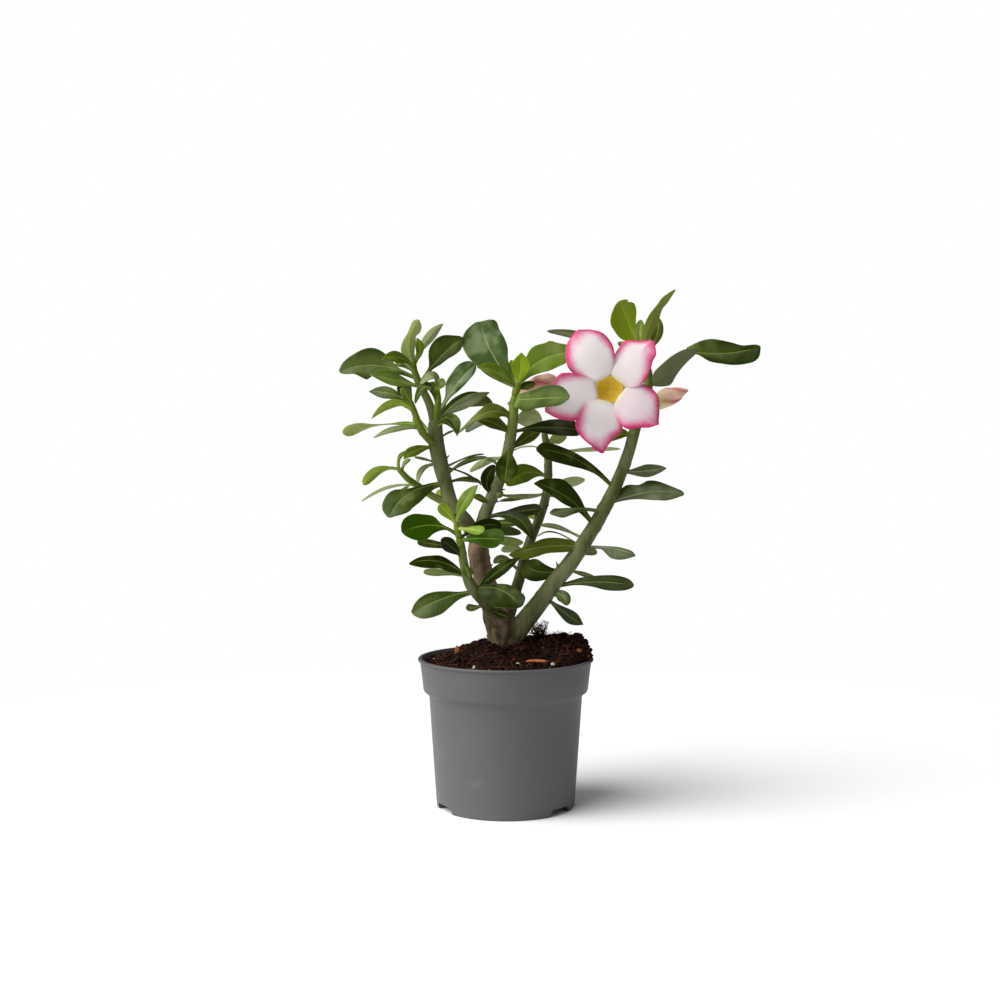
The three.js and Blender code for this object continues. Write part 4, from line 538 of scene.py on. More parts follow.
def smooth(value):
    clamped = min(1.0, max(0.0, value))
    return clamped * clamped * (3 - 2 * clamped)


def blend(a, b, share):
    return a + (b - a) * share


def angles_round(sides):
    return [math.tau * k / sides for k in range(sides)]


def at_angle(radius, angle, level=0.0):
    """The point at a level, at a radius and an angle round the pot's axis."""
    return Vector((radius * math.cos(angle), radius * math.sin(angle), level))


def seen(x, z, depth=0.0):
    """The point seen at (x, z) on the upright plane through the pot's axis, moved back along the view."""
    reach = 1 + depth / EYE_DISTANCE
    return Vector((EYE_X + (x - EYE_X) * reach, depth, EYE_Z + (z - EYE_Z) * reach))


def spline(points, share):
    """A smooth curve through points, whose share runs evenly from one point to the next."""
    last = len(points) - 1
    index = min(int(share * last), last - 1)
    along = share * last - index
    b, c = points[index], points[index + 1]
    a = points[index - 1] if index > 0 else b * 2 - c
    d = points[index + 2] if index + 2 <= last else c * 2 - b
    first, second, third = (max((p - q).length, 1e-6) ** 0.5 for p, q in ((a, b), (b, c), (c, d)))
    start = ((b - a) / first - (c - a) / (first + second) + (c - b) / second) * second
    end = ((c - b) / second - (d - b) / (second + third) + (d - c) / third) * second
    bend = c * 3 - b * 3 - start * 2 - end
    turn = b * 2 - c * 2 + start + end
    return b + start * along + bend * along ** 2 + turn * along ** 3


class Stem:
    """A round stem along rows of (x, z, depth, radius)."""

    def __init__(self, rows):
        self.places = [Vector((x, depth, z)) for x, z, depth, _ in rows]
        self.radii = [row[3] for row in rows]
        self.length = sum((b - a).length for a, b in zip(self.places, self.places[1:]))

    def as_seen(self, share):
        return spline(self.places, share)

    def point(self, share):
        place = self.as_seen(share)
        return seen(place.x, place.z, place.y)

    def radius(self, share):
        position = share * (len(self.radii) - 1)
        index = min(int(position), len(self.radii) - 2)
        return blend(self.radii[index], self.radii[index + 1], position - index)

    def axes(self, share):
        """The stem's heading and two directions across it."""
        along = (self.point(min(1, share + 0.01)) - self.point(max(0, share - 0.01))).normalized()
        side = along.cross(Vector((0, 1, 0))).normalized()
        return along, side, side.cross(along)

    def ring(self, share, sides, radius_of):
        """Points round the stem; radius_of gives the radius at an angle."""
        _, side, out = self.axes(share)
        centre = self.point(share)
        points = []
        for angle in angles_round(sides):
            radius = radius_of(angle)
            points.append(centre + side * radius * math.cos(angle) + out * radius * math.sin(angle))
        return points


def lump_form(detail):
    """Corners and triangles of a round lump of radius one half."""
    work = bmesh.new()
    bmesh.ops.create_icosphere(work, subdivisions=detail, radius=0.5)
    corners = [vertex.co.copy() for vertex in work.verts]
    triangles = [tuple(vertex.index for vertex in face.verts) for face in work.faces]
    work.free()
    return corners, triangles


LUMP_FORMS = {detail: lump_form(detail) for detail in (1, 2, 3)}


class Shape:
    """Points in millimetres, faces with a material number, and the points' values that materials read."""

    def __init__(self, *value_names):
        self.points = []
        self.faces = []
        self.kinds = []
        self.values = {name: [] for name in value_names}

    def add_point(self, point, values):
        self.points.append(point)
        for name, value in zip(self.values, values):
            self.values[name].append(value)

    def add_rings(self, rings, value_of):
        """Adds the points of rings and tells where each ring starts."""
        first = len(self.points)
        count = len(rings[0])
        for i, ring in enumerate(rings):
            for j, point in enumerate(ring):
                self.add_point(point, value_of(i, j))
        return [first + i * count for i in range(len(rings))]

    def join(self, starts, count):
        """Skins each ring of count points to the next."""
        for here, there in zip(starts, starts[1:]):
            for j in range(count):
                beside = (j + 1) % count
                self.faces.append((here + j, here + beside, there + beside, there + j))

    def mark(self, kind):
        """Gives the faces added last their material number."""
        self.kinds += [kind] * (len(self.faces) - len(self.kinds))

    def add_tube(self, rings, value_of, kind=0):
        """Skins rings of equally many points and closes both ends."""
        starts = self.add_rings(rings, value_of)
        count = len(rings[0])
        self.join(starts, count)
        self.faces.append(tuple(range(starts[0] + count - 1, starts[0] - 1, -1)))
        self.faces.append(tuple(range(starts[-1], starts[-1] + count)))
        self.mark(kind)

    def add_wheel(self, rings, value_of):
        """Skins rings that stand round an axis, the last one to the first."""
        starts = self.add_rings(rings, value_of)
        self.join(starts + starts[:1], len(rings[0]))
        self.mark(0)

    def add_lump(self, centre, size, turn, seed, tint, detail=1):
        """A rough crumb of the given size."""
        first = len(self.points)
        corners, triangles = LUMP_FORMS[detail]
        for corner in corners:
            stretch = 0.78 + 0.44 * noise.noise(corner * 1.7 + Vector((seed * 3.1, seed * 1.7, seed)))
            point = Vector((corner.x * size.x, corner.y * size.y, corner.z * size.z)) * (stretch + 0.2)
            self.add_point(centre + turn @ point, (tint,))
        self.faces += [(first + a, first + b, first + c) for a, b, c in triangles]
        self.mark(0)

    def build(self, name, materials, replaces=None):
        """Makes the piece, on the plant's one body, for a material slot and perhaps in place of a node."""
        mesh = bpy.data.meshes.new(name)
        mesh.from_pydata([in_frame(point) for point in self.points], [], self.faces)
        mesh.polygons.foreach_set("material_index", self.kinds)
        mesh.polygons.foreach_set("use_smooth", [True] * len(self.faces))
        for value_name, numbers in self.values.items():
            mesh.attributes.new(value_name, "FLOAT", "POINT").data.foreach_set("value", numbers)
        for material in materials:
            mesh.materials.append(material)
        work = bmesh.new()
        work.from_mesh(mesh)
        bmesh.ops.recalc_face_normals(work, faces=work.faces)
        work.to_mesh(mesh)
        work.free()
        piece = bpy.data.objects.new(name, mesh)
        bpy.context.scene.collection.objects.link(piece)
        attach(piece, "root")
        if replaces:
            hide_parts(replaces)
        return piece


# Materials. Their colours are screen colours from 0 to 255.

def linear(shade):
    """A screen colour as linear light."""
    channels = []
    for value in shade:
        value /= 255
        channels.append(value / 12.92 if value <= 0.04045 else ((value + 0.055) / 1.055) ** 2.4)
    return (*channels, 1)


class Paint:
    """A material and the nodes that colour it."""

    def __init__(self, name, **constants):
        self.material = bpy.data.materials.new(name)
        self.material.use_nodes = True
        self.tree = self.material.node_tree
        self.shader = self.tree.nodes["Principled BSDF"]
        for socket, value in constants.items():
            self.shader.inputs[socket.replace("_", " ")].default_value = value

    def feed(self, socket, source):
        """Links a source to a socket, or sets the socket to a number or colour."""
        if isinstance(source, bpy.types.NodeSocket):
            self.tree.links.new(source, socket)
        elif socket.type == "RGBA":
            socket.default_value = linear(source)
        else:
            socket.default_value = source

    def node(self, kind, output, inputs=None, **settings):
        """Adds a node with its settings and inputs, and gives back one output."""
        made = self.tree.nodes.new(kind)
        for key, value in settings.items():
            setattr(made, key, value)
        for key, source in (inputs or {}).items():
            self.feed(made.inputs[key], source)
        return made.outputs[output]

    def value(self, name):
        return self.node("ShaderNodeAttribute", "Fac", attribute_name=name)

    def pattern(self, kind, output, stretch, inputs):
        """A texture that lies fixed on the piece, stretched along its three axes."""
        place = self.node("ShaderNodeTexCoord", "Object")
        mapped = self.node("ShaderNodeMapping", "Vector", {"Scale": stretch, "Vector": place})
        return self.node(kind, output, {"Vector": mapped, **inputs})

    def noise(self, scale, detail=3.0, stretch=(1, 1, 1), rough=0.55):
        inputs = {"Scale": scale, "Detail": detail, "Roughness": rough}
        return self.pattern("ShaderNodeTexNoise", "Fac", stretch, inputs)

    def cells(self, scale):
        return self.pattern("ShaderNodeTexVoronoi", "Distance", (1, 1, 1), {"Scale": scale})

    def math(self, operation, a, b=0.0):
        return self.node("ShaderNodeMath", 0, {0: a, 1: b}, operation=operation)

    def plus(self, a, b):
        return self.math("ADD", a, b)

    def times(self, a, b):
        return self.math("MULTIPLY", a, b)

    def span(self, source, low, high, at_low=0.0, at_high=1.0):
        """Runs smoothly from at_low to at_high while the source runs from low to high."""
        limits = {"Value": source, "From Min": low, "From Max": high, "To Min": at_low, "To Max": at_high}
        return self.node("ShaderNodeMapRange", "Result", limits, interpolation_type="SMOOTHSTEP")

    def mix(self, share, a, b):
        return self.node("ShaderNodeMix", 2, {"Factor": share, 6: a, 7: b}, data_type="RGBA")

    def layers(self, base, *layers):
        """Lays colours over a base, each as (mask, amount, colour)."""
        for mask, amount, shade in layers:
            share = mask if amount == 1 else self.times(mask, amount)
            base = self.mix(share, base, shade)
        return base

    def finish(self, base, roughness, relief=None, strength=0.0, depth=0.0):
        """Colours the surface, and roughens it by a relief that is depth metres high."""
        self.feed(self.shader.inputs["Base Color"], base)
        self.feed(self.shader.inputs["Roughness"], roughness)
        if relief is not None:
            bumps = {"Strength": strength, "Distance": depth, "Height": relief}
            self.feed(self.shader.inputs["Normal"], self.node("ShaderNodeBump", "Normal", bumps))
        return self.material


def leaf_side_veins(paint, off, edge):
    """Ragged veins that slant from the midrib and fade towards the margin."""
    slant = paint.math("SUBTRACT", paint.value("run"), paint.times(off, 0.6))
    ragged = paint.plus(slant, paint.times(paint.noise(120, 2), 2.2))
    veins = paint.span(paint.math("PINGPONG", ragged, 2.1), 0.0, 0.5, 1, 0)
    return paint.times(veins, paint.span(edge, 0.6, 0.95, 1, 0))


def leaf_material(tone):
    """Upper side with painted sheen, thin pale midrib, faint side veins, over a paler, duller underside."""
    upper, light, under, vein, painted_sheen_amount, gloss = TONES[tone]
    paint = Paint(f"leaf_{tone}", Specular_IOR_Level=gloss)
    off = paint.math("ABSOLUTE", paint.value("off"))
    along = paint.value("along")
    edge = paint.value("edge")
    below = paint.value("under")
    # Painted sheen: lighter patches that stand in for the glossy highlights of the leaf
    painted_sheen_patches = paint.span(paint.noise(48, 2), 0.52, 0.7)
    inner = paint.span(edge, 0.35, 0.97, 1, 0.05)
    # Painted sheen over the middle of the blade, standing in for a broad highlight
    painted_sheen = paint.times(inner, paint.span(paint.noise(34, 3), 0.42, 0.6, 0.08, 1))
    rib = paint.times(paint.span(off, 0.12, 0.5, 1, 0), paint.span(along, 0.75, 0.97, 1, 0))
    side_veins = leaf_side_veins(paint, off, edge)
    stalk = paint.span(along, 0.0, 0.2, 1, 0)
    margin = paint.span(edge, 0.95, 1.0)
    top = paint.layers(upper, (painted_sheen_patches, 0.7, light), (painted_sheen, painted_sheen_amount, light), (paint.value("tint"), 0.1, light),
                       (side_veins, 0.035, vein), (rib, 0.62, vein), (stalk, 0.55, vein), (margin, 0.3, vein))
    # The underside takes a little of the painted sheen patches too
    bottom = paint.layers(under, (rib, 0.35, vein), (painted_sheen_patches, 0.25, light))
    cloudy = paint.span(paint.noise(90, 3), 0.35, 0.7, 0.0, 0.1)
    roughness = paint.plus(paint.span(below, 0, 1, 0.26, 0.5), cloudy)
    relief = paint.plus(paint.times(side_veins, -0.12), paint.times(paint.noise(900, 2), 0.12))
    relief = paint.plus(relief, paint.times(paint.noise(110, 2), 0.9))
    return paint.finish(paint.mix(below, top, bottom), roughness, relief, 0.35, 0.0008)


def stem_material():
    """Skin from smooth young green to grey-olive with streaks and scars."""
    paint = Paint("stem_skin", Specular_IOR_Level=0.2)
    age = paint.value("age")
    mottled = paint.span(paint.noise(90, 4, (1, 1, 0.35)), 0.32, 0.68)
    rough = paint.span(paint.noise(120, 5, (1, 1, 0.4)), 0.3, 0.7)
    specks = paint.span(paint.cells(420), 0.18, 0.3, 1, 0)
    streaks = paint.span(paint.noise(130, 4, (1, 1, 0.2)), 0.5, 0.62)
    young = paint.mix(paint.noise(60), (94, 114, 14), (120, 138, 38))
    middle = paint.mix(mottled, (78, 84, 38), (122, 126, 86))
    old = paint.mix(rough, (40, 33, 18), (114, 106, 80))
    base = paint.layers(young, (paint.span(age, 0.05, 0.5), 1, middle), (paint.span(age, 0.6, 1.0), 1, old),
                        (specks, 0.2, (134, 130, 92)),
                        (streaks, paint.span(age, 0.4, 0.9, 0, 0.8), (38, 26, 12)),
                        (paint.value("scar"), 0.65, (44, 36, 18)))
    relief = paint.plus(paint.noise(350, 4, (1, 1, 0.4)), paint.times(specks, 0.3))
    return paint.finish(base, paint.span(age, 0, 1, 0.42, 0.68), relief, 0.5, 0.001)


def bark_material():
    """Grey-brown bark with pinkish patches where it has peeled, and some moss."""
    paint = Paint("trunk_bark", Specular_IOR_Level=0.15)
    grain = paint.span(paint.noise(130, 5, (1, 1, 0.2)), 0.3, 0.7)
    peeled = paint.span(paint.noise(38, 2), 0.55, 0.68)
    moss = paint.span(paint.noise(55, 3), 0.58, 0.7)
    base = paint.layers(paint.mix(grain, (46, 35, 23), (136, 117, 88)), (peeled, 0.55, (142, 110, 92)),
                        (moss, 0.5, (52, 56, 24)), (paint.value("scar"), 0.6, (54, 44, 32)))
    relief = paint.plus(paint.noise(420, 5, (1, 1, 0.3), 0.7), paint.noise(130, 3))
    return paint.finish(base, 0.75, relief, 0.7, 0.0014)


def petal_material():
    """White-pink petals with a magenta margin that bleeds inwards in streaks, and yellow at the throat."""
    paint = Paint("petal", Subsurface_Weight=0.12, Subsurface_Scale=0.003)
    streaks = paint.times(paint.math("SUBTRACT", paint.noise(500, 3), 0.5), 0.22)
    ragged = paint.times(paint.math("SUBTRACT", paint.noise(120, 3), 0.5), 0.4)
    rim = paint.plus(paint.value("rim"), paint.plus(streaks, ragged))
    veins = paint.span(paint.math("PINGPONG", paint.value("fan"), 0.5), 0.0, 0.12, 1, 0)
    near = paint.span(paint.value("reach"), 8, 12, 1, 0)
    white = paint.mix(paint.noise(45, 2), (238, 228, 227), (250, 243, 242))
    # This value gives each petal its pink blush, and is painted shade at the lower right of the funnel behind
    # the petals
    base = paint.layers(white, (paint.value("blush_and_shade"), 0.5, (224, 192, 204)),
                        (paint.span(rim, 0.0, 0.75), 0.75, (226, 118, 166)),
                        (paint.span(rim, 0.42, 1.0), 1, (210, 30, 106)),
                        (veins, 0.08, (206, 150, 160)), (near, 0.55, (210, 200, 146)))
    relief = paint.plus(paint.times(veins, 0.4), paint.noise(260, 3))
    return paint.finish(base, 0.55, relief, 0.3, 0.0006)


def throat_material():
    """Deep yellow lining with radial streaks, pale at its edge, with painted shade at its lower right."""
    paint = Paint("throat", Subsurface_Weight=0.1, Subsurface_Scale=0.002)
    reach = paint.value("reach")
    streaks = paint.span(paint.math("PINGPONG", paint.value("fan"), 0.5), 0.05, 0.4)
    # Painted shade: darkens the lining at its lower right, less at its very bottom
    low = paint.times(paint.value("blush_and_shade"), paint.span(reach, 0.5, 6.0))
    base = paint.layers(paint.mix(streaks, (222, 180, 10), (230, 194, 34)),
                        (paint.span(reach, 7.4, 9.8), 1, (226, 206, 130)), (low, 0.6, (176, 134, 0)))
    return paint.finish(base, 0.6, paint.plus(streaks, paint.noise(700, 2)), 0.3, 0.0006)


def bud_material():
    """Furled petals in twisted bands of cream, salmon and red, over a yellow-green foot."""
    paint = Paint("bud", Subsurface_Weight=0.1, Subsurface_Scale=0.003)
    band = paint.math("PINGPONG", paint.value("fan"), 0.5)
    foot = paint.span(paint.plus(paint.value("along"), paint.times(paint.noise(150), 0.25)), 0.35, 0.75, 1, 0)
    base = paint.layers(paint.mix(paint.span(band, 0.08, 0.32), (222, 124, 124), (234, 192, 172)),
                        (paint.span(band, 0.0, 0.09, 1, 0), 1, (196, 50, 70)),
                        (paint.noise(220, 3), 0.4, (226, 184, 160)), (foot, 1, (204, 204, 142)))
    return paint.finish(base, 0.5, paint.plus(band, paint.noise(500, 3)), 0.45, 0.0008)


def pot_material():
    """Moulded grey plastic with fine grain, faint flow marks and a little dust."""
    paint = Paint("pot_plastic", Specular_IOR_Level=0.3)
    mottle = paint.noise(14, 3, (1, 1, 0.4))
    dust = paint.span(paint.noise(60, 5), 0.6, 0.78)
    base = paint.layers(paint.mix(mottle, (82, 82, 82), (94, 94, 94)), (dust, 0.18, (138, 135, 130)))
    relief = paint.plus(paint.noise(1600, 2), paint.times(paint.noise(240, 2), 0.6))
    return paint.finish(base, paint.span(mottle, 0.3, 0.7, 0.46, 0.56), relief, 0.22, 0.0003)


def soil_material():
    """Damp peat: near black with red-brown crumbs and the odd straw-coloured one."""
    paint = Paint("peat", Specular_IOR_Level=0.1)
    tint = paint.value("tint")
    base = paint.layers(paint.mix(paint.noise(320, 5), (14, 6, 4), (42, 19, 13)),
                        (paint.span(tint, 0.5, 0.9), 1, (66, 34, 20)),
                        (paint.span(tint, 0.96, 1.0), 1, (140, 80, 40)))
    return paint.finish(base, 0.82, paint.plus(paint.noise(900, 4), paint.noise(260, 4)), 0.9, 0.0016)


def fibre_material():
    """Brown coir and fine roots, from dark to straw."""
    paint = Paint("coir_fibre", Specular_IOR_Level=0.15)
    shades = paint.mix(paint.span(paint.value("tint"), 0.2, 1.0), (52, 27, 19), (118, 72, 48))
    base = paint.layers(shades, (paint.noise(600, 3), 0.4, (30, 16, 12)))
    return paint.finish(base, 0.8, paint.noise(1400, 3), 0.4, 0.0004)


def bark_chip_material():
    """Orange-brown bark chips with darker grain."""
    paint = Paint("bark_chip")
    grain = paint.noise(260, 4, (1, 0.3, 0.3))
    return paint.finish(paint.mix(grain, (120, 60, 24), (214, 128, 62)), 0.78, grain, 0.7, 0.001)


def perlite_material():
    """White, chalky, pitted perlite."""
    paint = Paint("perlite")
    pits = paint.cells(900)
    base = paint.mix(paint.span(pits, 0.1, 0.5), (160, 150, 136), (214, 206, 196))
    return paint.finish(base, 0.9, pits, 0.8, 0.0008)


def floor_material():
    paint = Paint("pale_floor")
    return paint.finish(paint.mix(paint.noise(3, 2), (248, 248, 247), (251, 251, 251)), 0.9)


# Stems

def scars_on(seed, count):
    """Places of fallen leaves: (share, angle, size)."""
    dice = random.Random(seed)
    return [(dice.uniform(0.05, 0.95), dice.uniform(0, math.tau), dice.uniform(0.7, 1.3))
            for _ in range(count)]


def scar_relief(stem, scars, share, angle):
    """How far scars swell the skin at a place, and how strongly they mark it."""
    swell = 0.0
    mark = 0.0
    for place, turn, size in scars:
        step = (share - place) * stem.length / (SCAR_LENGTH * size)
        off = math.remainder(angle - turn, math.tau) * stem.radius(share) / (SCAR_WIDTH * size)
        swell += SCAR_SWELL * size * math.exp(-(step ** 2 + off ** 2))
        mark = max(mark, math.exp(-((step * 1.7) ** 2 + (off * 1.6) ** 2)))
    return swell, mark


def end_round(share, stem):
    """Rounds the last bit of a stem's tip."""
    left = (1 - share) * stem.length / max(stem.radii[-1], 0.5)
    return 1.0 if left > 1 else max(0.15, math.sqrt(max(0.0, 1 - (1 - left) ** 2)))


def add_stem(shape, stem, ages, seed, scar_count, rough=0.04):
    """A stem's skin with shallow scars, swelling where leaves sat, and a rounded tip."""
    sides = THIN_SIDES if stem.radii[0] < THIN_STEM else THICK_SIDES
    steps = max(10, int(stem.length / STEM_STEP))
    scars = scars_on(seed, scar_count)
    rings = []
    marks = []
    for i in range(steps + 1):
        share = i / steps
        radius = stem.radius(share)
        ring_marks = []

        def radius_of(angle):
            swell, mark = scar_relief(stem, scars, share, angle)
            place = Vector((math.cos(angle) * 1.3, math.sin(angle) * 1.3, share * stem.length * 0.16 + seed))
            swell += rough * radius * (noise.noise(place) + 0.5 * noise.noise(place * 2.7))
            ring_marks.append(mark)
            return (radius + swell * (0.25 + 0.75 * smooth((1 - share) * 8))) * end_round(share, stem)

        rings.append(stem.ring(share, sides, radius_of))
        marks.append(ring_marks)
    shape.add_tube(rings, lambda i, j: (blend(*ages, i / steps), marks[i][j]))
    for place, turn, size in scars:
        if size > STUB_SIZE and blend(*ages, place) > STUB_AGE:
            add_stub(shape, stem, place, turn, size)


def add_stub(shape, stem, share, angle, size):
    """The dry foot of a fallen leaf, standing out of the stem's skin."""
    along, side, front = stem.axes(share)
    out = side * math.cos(angle) + front * math.sin(angle)
    across = along.cross(out)
    foot = stem.point(share) + out * (stem.radius(share) - 0.6)
    rings = []
    for reach, radius in STUB_RINGS:
        centre = foot + (out * reach + along * reach ** 2 * 0.2) * size
        rings.append([centre + (along * math.cos(turn) + across * math.sin(turn)) * radius * size
                      for turn in angles_round(8)])
    shape.add_tube(rings, lambda i, j: (1.0, 0.3 + 0.15 * i))


# Leaves

def slope_at(rows, index, side):
    """How fast a leaf form's half grows at one of its rows."""
    before = rows[max(0, index - 1)]
    after = rows[min(len(rows) - 1, index + 1)]
    return (after[side] - before[side]) / (after[0] - before[0])


def half_of(form, share, side):
    """A leaf form's clockwise half (side 1) or other half (side -1) at a share of the length."""
    rows = LEAF_FORMS[form]
    index = next(i for i in range(1, len(rows)) if rows[i][0] >= share)
    before, after = rows[index - 1], rows[index]
    step = after[0] - before[0]
    along = (share - before[0]) / step
    start = slope_at(rows, index - 1, side) * step
    end = slope_at(rows, index, side) * step
    bend = 3 * (after[side] - before[side]) - 2 * start - end
    turn = 2 * (before[side] - after[side]) + start + end
    return before[side] + start * along + bend * along ** 2 + turn * along ** 3


def leaf_frames(root, middle, tip):
    """Stations along a leaf's curve: (share, point, along, front, upper)."""
    turning = middle * 2 - (root + tip) / 2
    frames = []
    for i in range(LEAF_RINGS + 1):
        share = 1 - (1 - i / LEAF_RINGS) ** 1.25
        point = root * (1 - share) ** 2 + turning * 2 * share * (1 - share) + tip * share ** 2
        along = ((turning - root) * (1 - share) + (tip - turning) * share).normalized()
        front = Vector((0, -1, 0))
        front = (front - along * front.dot(along)).normalized()
        frames.append((share, point, along, front, front.cross(along)))
    turn_upper_sides(frames)
    return frames


def turn_upper_sides(frames):
    """Turns a leaf's broadest station upper side up, and all others the same way round."""
    uppers = [station[-1] for station in frames]
    centre = min(range(len(frames)), key=lambda i: abs(frames[i][0] - 0.54))
    if uppers[centre].z < 0:
        uppers[centre].negate()
    outwards = [(i, i + 1) for i in range(centre, LEAF_RINGS)]
    inwards = [(i, i - 1) for i in range(centre, 0, -1)]
    for turned, beside in outwards + inwards:
        if uppers[beside].dot(uppers[turned]) < 0:
            uppers[beside].negate()


class Ruffle:
    """How a leaf's blade is cupped and how its margins wave, by the throw of a dice."""

    def __init__(self, width, dice):
        self.waves = dice.uniform(1.2, 2.6)
        self.start = dice.uniform(0, math.tau)
        self.swing = dice.uniform(0.012, 0.04) * width
        self.cup = dice.uniform(-0.03, 0.06) * width

    def lift(self, place, share, broad):
        """How far the blade stands off its plane, at a place between its margins at -1 and 1."""
        wave = math.sin(math.tau * self.waves * share + self.start + (1.9 if place > 0 else 0))
        return self.cup * broad * (0.3 - place ** 2) + self.swing * broad * wave * place ** 2


def leaf_offsets(form, share, width, face):
    """How far each column of a blade lies from its midrib at a share of the length."""
    least = max(PETIOLE_WIDTH / 2 * smooth((1 - share) * 14), 0.12)
    near, far = (max(least, width / 2 * half_of(form, share, number)) for number in (1, -1))
    if face < 0:
        near, far = far, near
    return [place * (near if place > 0 else far) for place in LEAF_COLUMNS]


def leaf_ring(point, side, normal, offsets, share, width, ruffle):
    """Points round a blade at one station: along its upper side and back along its underside."""
    half = (offsets[-1] - offsets[0]) / 2
    broad = smooth((half - PETIOLE_WIDTH / 2) / (width / 2))
    fold = LEAF_FOLD * max(0.0, half - PETIOLE_WIDTH / 2)
    middle_thickness = blend(PETIOLE_THICKNESS, BLADE_THICKNESS, smooth(share / 0.35))
    top = []
    bottom = []
    for place, out in zip(LEAF_COLUMNS, offsets):
        lift = fold * (abs(place) ** 1.25 - 0.5) + ruffle.lift(place, share, broad)
        thickness = middle_thickness * blend(1, MARGIN_THICKNESS, abs(place) ** 2.4)
        groove = GROOVE_DEPTH * broad * math.exp(-((out / GROOVE_WIDTH) ** 2))
        rib = RIB_HEIGHT * broad * (1 - share) * math.exp(-((out / RIB_WIDTH) ** 2))
        here = point + side * out + normal * lift
        top.append(here + normal * (thickness / 2 - groove))
        bottom.append(here - normal * (thickness / 2 + rib))
    return top + bottom[::-1]


def add_leaf(shape, path, seed, width, face, tone, form="plain", twist=0):
    """A blade of the named form on a short stalk, folded along its midrib, with softly waved margins."""
    dice = random.Random(seed)
    ruffle = Ruffle(width, dice)
    tint = dice.random()
    length = (path[2] - path[0]).length
    rings = []
    notes = []
    for share, point, along, front, upper in leaf_frames(*path):
        turn = math.radians(face + twist * share)
        normal = (upper * math.cos(turn) + front * math.sin(turn)).normalized()
        side = along.cross(normal).normalized()
        offsets = leaf_offsets(form, share, width, face)
        rings.append(leaf_ring(point, side, normal, offsets, share, width, ruffle))
        notes.append((share, share * length, offsets + offsets[::-1]))
    edges = [abs(place) for place in LEAF_COLUMNS + LEAF_COLUMNS[::-1]]

    def value_of(i, j):
        share, run, off = notes[i]
        return share, run, off[j], edges[j], 0.0 if j < len(LEAF_COLUMNS) else 1.0, tint

    shape.add_tube(rings, value_of, list(TONES).index(tone))


def nearest_on(stems, x, z):
    """The point of a shoot's stems that lies nearest to (x, z) as seen, and its depth."""
    best = None
    for stem in stems:
        for i in range(51):
            share = i / 50
            place = stem.as_seen(share)
            distance = math.hypot(place.x - x, place.z - z)
            if best is None or distance < best[0]:
                best = (distance, stem.point(share), place.y)
    return best[1], best[2]


def add_leaf_row(shape, stems, row, seed):
    x0, z0, x1, z1, x2, z2, depth, *looks = row
    root, root_depth = nearest_on(stems, x0, z0)
    path = (root, seen(x1, z1, (root_depth + depth) / 2), seen(x2, z2, depth))
    add_leaf(shape, path, seed, *looks)


def build_shoot(name, number, skin_material, leaf_materials):
    """One leafy stem: its skin and its leaves."""
    stems = [Stem(rows) for rows in STEMS[name]]
    skin = Shape("age", "scar")
    for index, stem in enumerate(stems):
        spacing = SCAR_SPACING if stem.radii[0] > THIN_STEM else THIN_SCAR_SPACING
        add_stem(skin, stem, SKIN_AGE[name], number * 10 + index, int(stem.length / spacing))
    skin.build(f"{name}_skin", [skin_material], name)
    leaves = Shape("along", "run", "off", "edge", "under", "tint")
    for index, row in enumerate(LEAVES[name]):
        add_leaf_row(leaves, stems, row, number * 100 + index)
    if name == "right_stem":
        for index, (root, middle, tip, *looks) in enumerate(TURNED_LEAF):
            path = (seen(*root), seen(*middle), seen(*tip))
            add_leaf(leaves, path, number * 100 + 50 + index, *looks)
    leaves.build(f"{name}_leaves", leaf_materials)


def build_shoots():
    skin_material = stem_material()
    leaf_materials = [leaf_material(tone) for tone in TONES]
    for number, name in enumerate(STEMS, 1):
        build_shoot(name, number, skin_material, leaf_materials)


def build_trunk():
    shape = Shape("age", "scar")
    add_stem(shape, Stem(TRUNK), (1, 1), 700, 30, rough=0.14)
    shape.build("trunk_skin", [bark_material()], "trunk")


# Flower and buds

def flower_point(across, forward, up):
    centre = seen(*FLOWER_CENTRE, FLOWER_DEPTH)
    return Vector((centre.x + across, centre.y - forward, centre.z + up))


def petal_forward(part, distance, place, angle):
    """How far a petal stands forward, softly ruffled and lying over the next one clockwise."""
    tuck = smooth(part * 2.4 - 0.4)
    forward = -6 * (1 - part) ** 2 - 3 * part ** 3 - PETAL_LIFT * place * tuck
    forward -= 2.2 * smooth((8.7 - distance) / 1.6)
    ruffle = math.sin(part * 17 + place * 2 + angle) + 0.6 * math.sin(part * 9 - place * 4 + angle * 3)
    forward += 0.35 * ruffle * tuck * abs(place) ** 2
    return forward + 0.5 * tuck * math.cos(place * 2.2)


def rim_share(inwards, distance, reach, margin):
    """How much of the margin's colour a petal has so far inwards, with a broader margin far out."""
    outwards = smooth((distance - 9) / (reach - 15))
    rim = (1 - inwards / (margin * blend(0.9, 2.4, outwards))) * blend(0.3, 1, smooth((distance - 8) / 14))
    return max(0.0, rim)


